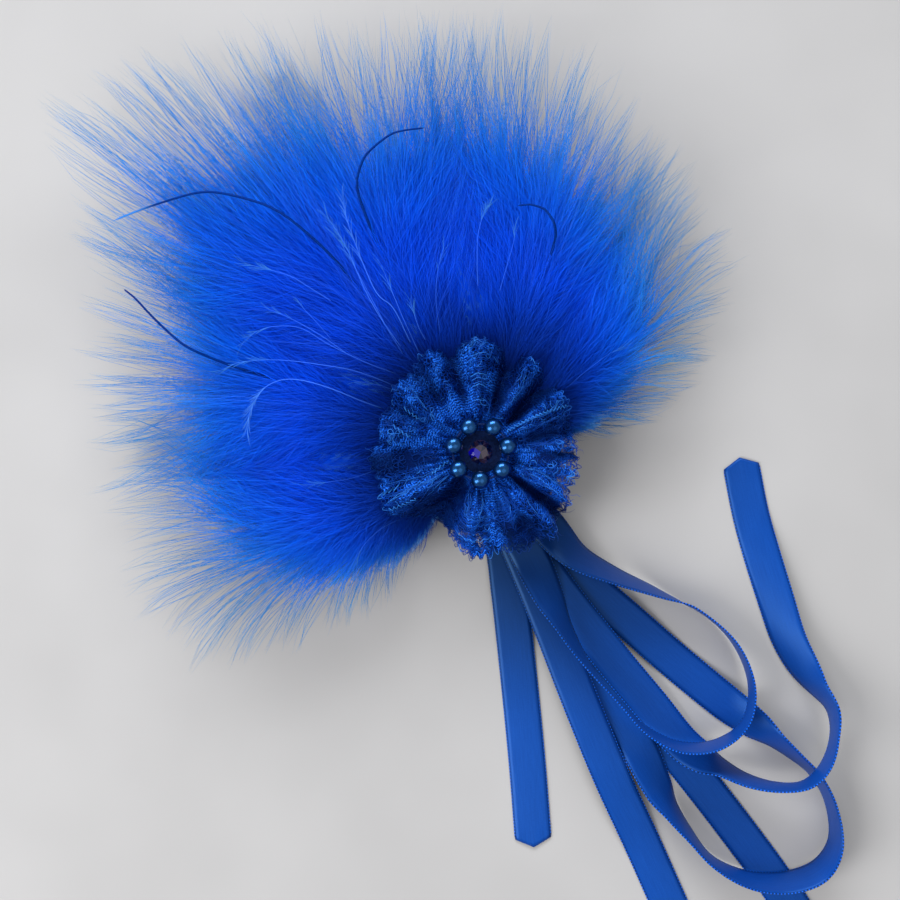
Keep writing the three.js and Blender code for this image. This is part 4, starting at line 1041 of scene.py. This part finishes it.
def lace_cords(draw):
    """Raised threads on the lace, each a line of ways out and angles, with its lift and width.

    Ribs run round, fine threads run outwards, picot folds zigzag outwards, petals are closed loops
    in rings of six, short curls lie anyhow, and small loops and loose ends stand off the rim.
    """
    lines = []
    share = np.linspace(0, 1, 12)
    for middle, half, start, end, count in rib_patches:
        out = np.linspace(start, end, count)[:, None] + draw.normal(0, 0.004, (count, 1))
        wobble = 0.006 * np.sin(share * 9.0 + draw.uniform(0, full_wave, (count, 1)))
        width = half * (0.75 + 0.25 * out)
        angle = middle + width * (2 * share - 1) + draw.normal(0, 0.6, (count, 1))
        lines.append((out + wobble, angle, 0.34, 0.32))
    for middle, half, start, end, count in drawn_patches:
        angle = middle + half * draw.uniform(-1, 1, (count, 1)) + draw.normal(0, 0.5, (count, 12))
        first = start + draw.uniform(0, 0.12, (count, 1))
        lines.append(
            (first + (end - first) * share, angle + 2.0 * np.sin(share * 5.0 + angle[:, :1]), 0.3, 0.2)
        )
    for inner, outer, start, end in picot_folds:
        teeth = int((end - start) * 42)
        steps = np.linspace(0, 1, teeth)
        out = start + (end - start) * steps
        angle = inner + (outer - inner) * steps + np.where(np.arange(teeth) % 2, 1.1, -1.1) / (0.35 + out)
        lines.append((out[None], angle[None], 0.6, 0.5))
    flowers = 20
    centre_out, centre_angle = draw.uniform(0.3, 0.92, flowers), draw.uniform(0, TURN, flowers)
    size, twist = draw.uniform(1.6, 3.4, flowers), draw.uniform(0, TURN, flowers)
    turn = np.linspace(0, 2 * np.pi, 12)
    for petal in range(6):
        lead = np.radians(twist[:, None] + petal * 60.0)
        bulge = size[:, None] * (1 - np.cos(turn))[None] / 2
        swing = 0.45 * np.sin(turn)[None]
        right, forth = bulge * np.cos(lead + swing), bulge * np.sin(lead + swing)
        out, angle = lace_shift(centre_out, centre_angle, right, forth)
        lines.append((np.clip(out, 0.08, 1.0), angle, 0.3, 0.3))
    curls = 780
    out0, angle0 = np.sqrt(draw.uniform(0.03, 1.0, curls)), draw.uniform(0, TURN, curls)
    heading, curl = draw.uniform(0, full_wave, curls), draw.normal(0, 2.2, curls)
    length = draw.uniform(1.6, 4.6, curls)
    steps = np.linspace(0, 1, 6)
    way = heading[:, None] + curl[:, None] * steps
    right = np.cumsum(np.cos(way), 1) * length[:, None] / 6
    forth = np.cumsum(np.sin(way), 1) * length[:, None] / 6
    out, angle = lace_shift(out0, angle0, right, forth)
    lines.append((np.clip(out, 0.06, 1.015), angle, 0.28, 0.22))
    loops = 120
    angle0 = np.arange(loops) * TURN / loops + draw.uniform(-1, 1, loops)
    turn = np.linspace(-0.4, np.pi + 0.4, 8)
    out = 0.985 + draw.uniform(0.018, 0.045, (loops, 1)) * np.sin(turn)
    lines.append((out, angle0[:, None] + 1.2 * np.cos(turn)[None], 0.1, 0.26))
    strays = 60
    angle0 = np.concatenate([draw.uniform(-60, 45, strays // 2), draw.uniform(0, TURN, strays // 2)])
    steps = np.linspace(0, 1, 6)
    out = 0.93 + draw.uniform(0.06, 0.17, (strays, 1)) * steps
    angle = angle0[:, None] + draw.normal(0, 4.0, (strays, 1)) * steps**2 + draw.normal(0, 0.5, (strays, 6))
    lines.append((out, angle, 0.15, 0.16))
    parts = []
    for out, angle, lift, width in lines:
        out, angle = np.broadcast_arrays(out, angle)
        paths = lace_place(out, angle, lift * 0.5)
        shade = draw.uniform(0, 1, (len(paths), 1)) ** 1.5 + (width > 0.4)
        # Painted shade: cords in the furrows are darker by how deep they lie.
        shade = np.clip(shade * (1 - 0.3 * np.clip(furrow_depth(out, angle), 0, 3.2)), 0, 1)
        parts.append(thread_mesh(paths, width, tint=shade))
    return join_meshes(parts)


def cord_finish():
    """Shiny viscose thread, its blue a little different from one thread to the next, and darker in the
    furrows by painted shade.
    """
    cord = Finish("lace_cord", Roughness=0.35, Specular_IOR_Level=0.35, Specular_Tint=rgb(0.2, 0.5, 1.0))
    cord.to("Base Color", cord.ramp(cord.attribute("tint"), [
        (0.0, 0.0, 0.018, 0.17), (0.5, 0.003, 0.055, 0.41), (1.0, 0.04, 0.27, 0.9)]))
    return cord.material


corners, faces, columns = lace_sheet()
lace = make_piece("lace_ruffle", corners, faces, [lace_finish()], **columns)
corners, faces, columns = lace_cords(lace_draw)
cords = make_piece("lace_cords", corners, faces, [cord_finish()], **columns)
for piece in (lace, cords):
    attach(piece, "root")
    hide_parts("lace_rosette")


# Pearls, their thread and the stone

pearl_foot = lace_bottom + 1.2 + lace_rise * lace_rises[1]
pearl_height = pearl_foot + 0.3 + pearl_width / 2
drill_radius = 0.62
bead_sides, felt_sides = 32, 96


def turned(profile, around):
    """Rows of (radius, height) turned about the z axis, with the last row joined to the first."""
    turn = np.arange(around) * 2 * np.pi / around
    radius, height = profile[:, :1], profile[:, 1:]
    spot = np.stack(np.broadcast_arrays(radius * np.cos(turn), radius * np.sin(turn), height), -1)
    return spot.reshape(-1, 3), [ring_faces(len(profile), around, True)]


def pearl_finish():
    """Glass pearl: a teal lustre in the middle that turns to dark navy where it is seen aslant."""
    pearl = Finish(
        "glass_pearl", Roughness=0.26, Metallic=0.92, Coat_Weight=0.25, Coat_Roughness=0.08, Coat_IOR=1.5
    )
    shift = pearl.node("LayerWeight", Blend=0.24).outputs["Facing"]
    cloudy = pearl.noise(1.6, 3.0)
    body = pearl.ramp(cloudy, [(0.3, 0.004, 0.056, 0.19), (0.7, 0.01, 0.10, 0.30)])
    pearl.to("Base Color", pearl.mix(shift, body, rgb(0.0, 0.03, 0.17)))
    pearl.bump(cloudy, 0.02, 0.4)
    return pearl.material


pearl_glass = pearl_finish()
bore_lean = math.asin(drill_radius / (pearl_width / 2))
lean = np.linspace(bore_lean, math.pi - bore_lean, 20)
bead = np.stack([np.sin(lean), -np.cos(lean)], 1) * pearl_width / 2
bore = np.stack([np.full(4, drill_radius), np.linspace(bead[-1, 1], bead[0, 1], 6)[1:-1]], 1)
for number in range(pearl_count):
    corners, faces = turned(np.concatenate([bead, bore]), bead_sides)
    angle = pearl_turn + number * TURN / pearl_count
    along = polar(1.0, angle + 90.0, 0.0)
    outward = polar(1.0, angle, 0.0)
    corners = (
        corners[:, :1] * outward - corners[:, 1:2] * UP + corners[:, 2:] * along
        + polar(pearl_ring_radius, angle, pearl_height)
    )
    ball = make_piece(f"pearl_{number + 1}_glass", corners, faces, [pearl_glass])
    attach(ball, "root")
    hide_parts(f"pearl_{number + 1}")


def ring_cord():
    """Two strands twisted round each other on a circle: each a torus whose centre turns with it."""
    stations, sides, twists = 210, 6, 42
    strand, offset = thread_width * 0.27, thread_width * 0.22
    t = np.arange(stations) * 2 * np.pi / stations
    parts = []
    for phase in (0.0, np.pi):
        twist = twists * t + phase
        radius = pearl_ring_radius + offset * np.cos(twist)
        centre = np.stack([radius * np.cos(t), radius * np.sin(t), pearl_height + offset * np.sin(twist)], -1)
        outward = np.stack([np.cos(t), np.sin(t), np.zeros(stations)], -1)
        turn = np.arange(sides) * 2 * np.pi / sides
        ring = ring_points(centre, strand, outward, UP, turn)
        parts.append((ring.reshape(-1, 3), [ring_faces(stations, sides, True)[:, ::-1]], {}))
    return join_meshes(parts)


def thread_finish():
    """Waxed bead thread, dark blue with a fine mottle."""
    thread = Finish("bead_cord", Roughness=0.5, Specular_IOR_Level=0.15)
    dyed = thread.ramp(thread.noise(0.3), [(0.3, 0.001, 0.008, 0.06), (0.7, 0.003, 0.025, 0.14)])
    thread.to("Base Color", dyed)
    return thread.material


corners, faces, columns = ring_cord()
cord = make_piece("bead_cord_ring", corners, faces, [thread_finish()])
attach(cord, "root")
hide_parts("bead_thread")


def cut_stone():
    """A brilliant-cut disc: table, star and kite facets on the crown, a girdle, and a pointed back.

    Rings of corners stand at set shares of the radius and heights, turned by half a facet in turn.
    """
    n, half = stone_facets, stone_width / 2
    seat = 14.2
    rings = [
        (stone_table_share, 4.4, 0.0), (0.84, 3.5, 0.5), (1.0, 2.5, 0.0), (1.0, 2.5, 0.5),
        (1.0, 1.9, 0.0), (1.0, 1.9, 0.5), (0.55, 0.9, 0.0),
    ]
    i = np.arange(n)
    after = (i + 1) % n
    corners = np.concatenate([
        polar(half * share, (i + shift) * TURN / n, seat + height) for share, height, shift in rings
    ] + [np.array([[0, 0, seat + rings[0][1]], [0, 0, seat]])])
    table, star, wide, between, low, low_between, back = (ring * n for ring in range(7))
    middle, culet = np.full(n, 7 * n), np.full(n, 7 * n + 1)
    facets = [
        (middle, table + i, table + after), (table + i, star + i, table + after),
        (table + after, star + i, wide + after), (table + after, wide + after, star + after),
        (star + i, wide + i, between + i), (star + i, between + i, wide + after),
        (wide + i, low + i, low_between + i), (wide + i, low_between + i, between + i),
        (between + i, low_between + i, low + after), (between + i, low + after, wide + after),
        (low + i, back + i, low_between + i), (low_between + i, back + i, back + after),
        (low_between + i, back + after, low + after), (back + i, culet, back + after),
    ]
    return corners, [np.concatenate([np.stack(facet, -1) for facet in facets])]


def stone_finish():
    """Dark faceted glass: every facet has its own painted reflection, near black, brown violet or vivid blue.
    """
    stone = Finish("cut_glass", Roughness=0.05, Specular_IOR_Level=0.8, Coat_Weight=1.0, Coat_Roughness=0.03)
    shade = stone.math("ADD", stone.attribute("shade"), stone.math("MULTIPLY", stone.noise(1.5), 0.08))
    stone.to("Base Color", stone.ramp(shade, [
        (0.0, 0.0, 0.001, 0.012), (0.3, 0.002, 0.003, 0.03), (0.45, 0.03, 0.016, 0.04),
        (0.62, 0.045, 0.028, 0.045),
        (0.7, 0.004, 0.002, 0.05), (1.0, 0.004, 0.001, 0.32)]))
    return stone.material


corners, faces = cut_stone()
stone = make_piece("centre_stone_glass", corners, faces, [stone_finish()], smooth=False)
facets = len(stone.data.polygons)
middles = np.empty(facets * 3)
stone.data.polygons.foreach_get("center", middles)
# Painted reflections: each facet gets a random colour from near black to brown violet, with a vivid blue
# patch at the left and a brown violet one at the right.
facet_reflections = np.random.default_rng(3).uniform(0, 0.62, facets)
middles = middles.reshape(-1, 3) / MM
facet_reflections[np.hypot(middles[:, 0] + 2.2, middles[:, 1] + 0.6) < 1.5] = 0.97
facet_reflections[np.hypot(middles[:, 0] - 1.3, middles[:, 1] + 0.6) < 1.3] = 0.55
stone.data.attributes.new("shade", "FLOAT", "FACE").data.foreach_set("value", facet_reflections.astype(np.float32))
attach(stone, "root")
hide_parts("centre_stone")


# Felt base and clip


def felt_finish():
    """Pressed felt: mottled dark blue, with its matted fibres as a fine bump."""
    felt = Finish("dark_felt", Roughness=0.95, Specular_IOR_Level=0.1, Sheen_Weight=0.3)
    fibre = felt.noise(0.7, 6.0)
    felt.to("Base Color", felt.ramp(fibre, [(0.3, 0.001, 0.008, 0.05), (0.7, 0.006, 0.03, 0.15)]))
    felt.bump(fibre, 0.35)
    return felt.material


def felt_disc():
    """A disc with a rounded edge, its faces rising and falling by a few crossed sines."""
    half = felt_wall / 2
    edge = np.linspace(-np.pi / 2, np.pi / 2, 7)
    rim = np.stack([felt_radius - half + half * np.cos(edge), half * np.sin(edge)], 1)
    rings = np.linspace(0.04, 0.97, 12) * (felt_radius - half)
    low = np.stack([rings, np.full(12, -half)], 1)
    high = np.stack([rings[::-1], np.full(12, half)], 1)
    corners, faces = turned(np.concatenate([low, rim, high]), felt_sides)
    ripple = np.sin(corners[:, 0] / 2.9) * np.sin(corners[:, 1] / 3.7 + 1.0) * 0.12
    corners[:, 2] += ripple + felt_bottom + half
    around = np.arange(felt_sides)[None]
    return corners, [faces[0][:-felt_sides], around[:, ::-1], len(corners) - felt_sides + around]


corners, faces = felt_disc()
felt = make_piece("felt_disc", corners, faces, [felt_finish()])
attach(felt, "root")
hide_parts("felt_base")


def steel_finish():
    """Brushed steel: fine lengthwise scratches over a satin polish."""
    steel = Finish("brushed_steel", Metallic=1.0)
    where = steel.node("TexCoord").outputs["Object"]
    drawn = steel.node("Mapping", i0=where, i3=(400.0, 9000.0, 4000.0)).outputs[0]
    scratch = steel.grain(drawn, 1.0, 3.0)
    steel.to("Base Color", steel.ramp(scratch, [(0.3, 0.50, 0.52, 0.55), (0.7, 0.66, 0.68, 0.71)]))
    steel.to("Roughness", steel.range(scratch, 0.3, 0.7, 0.24, 0.4))
    steel.bump(scratch, 0.02, 0.5)
    return steel.material


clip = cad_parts["hair_clip"]
clip.data.materials.clear()
clip.data.materials.append(steel_finish())


# Floor, light and camera


def stage_floor():
    """A flat pale floor just under everything, three metres out each way."""
    half, low = 3000.0, -0.2
    corners = np.array([[-half, -half, low], [half, -half, low], [half, half, low], [-half, half, low]])
    paint = Finish("floor_paint", Roughness=0.8)
    pale = paint.ramp(paint.noise(60.0), [(0.3, 0.425, 0.415, 0.41), (0.7, 0.46, 0.45, 0.445)])
    paint.to("Base Color", pale)
    floor = make_piece("pale_floor", corners, [np.array([[0, 1, 2, 3]])], [paint.material], smooth=False)


def lamp(name, place, aim, width, height, watts, colour=(1.0, 1.0, 1.0)):
    """A soft rectangular light, turned from its place towards a point; metres and watts."""
    light = bpy.data.lights.new(name, "AREA")
    light.shape = "RECTANGLE"
    light.size, light.size_y = width, height
    light.energy = watts
    light.color = colour
    made = bpy.data.objects.new(name, light)
    made.location = place
    made.rotation_euler = (Vector(aim) - Vector(place)).to_track_quat("-Z", "Y").to_euler()
    bpy.context.scene.collection.objects.link(made)


stage_floor()
lamp("window", (-0.25, 1.25, 0.75), (0, 0, 0), 1.3, 0.6, 23.0, (0.93, 0.96, 1.0))
lamp("room", (0.5, -0.4, 1.4), (0, 0, 0), 1.2, 1.2, 4.0, (1.0, 0.96, 0.9))
lamp("left_wall", (-0.85, -0.4, 0.75), (0.1, -0.06, 0), 0.5, 1.0, 11.0)

scene = bpy.context.scene
scene.world = bpy.data.worlds.new("pale_room")
scene.world.use_nodes = True
backdrop = scene.world.node_tree.nodes["Background"]
backdrop.inputs["Color"].default_value = rgb(0.92, 0.95, 1.0)
backdrop.inputs["Strength"].default_value = 0.47
scene.view_settings.view_transform = "Standard"
scene.cycles.max_bounces = 3
scene.cycles.diffuse_bounces = 1
scene.cycles.glossy_bounces = 1
scene.cycles.transparent_max_bounces = 14

# Straight down over the photo's middle, so that the frame spans the photographed 305 mm
photo_middle, photo_span, eye_height = (-0.01007, 0.00065), 0.305, 0.6
eye = bpy.data.cameras.new("eye")
eye.sensor_fit = "HORIZONTAL"
eye.angle = 2 * math.atan(photo_span / 2 / eye_height)
camera = bpy.data.objects.new("eye", eye)
camera.location = (*photo_middle, eye_height)
scene.collection.objects.link(camera)
scene.camera = camera
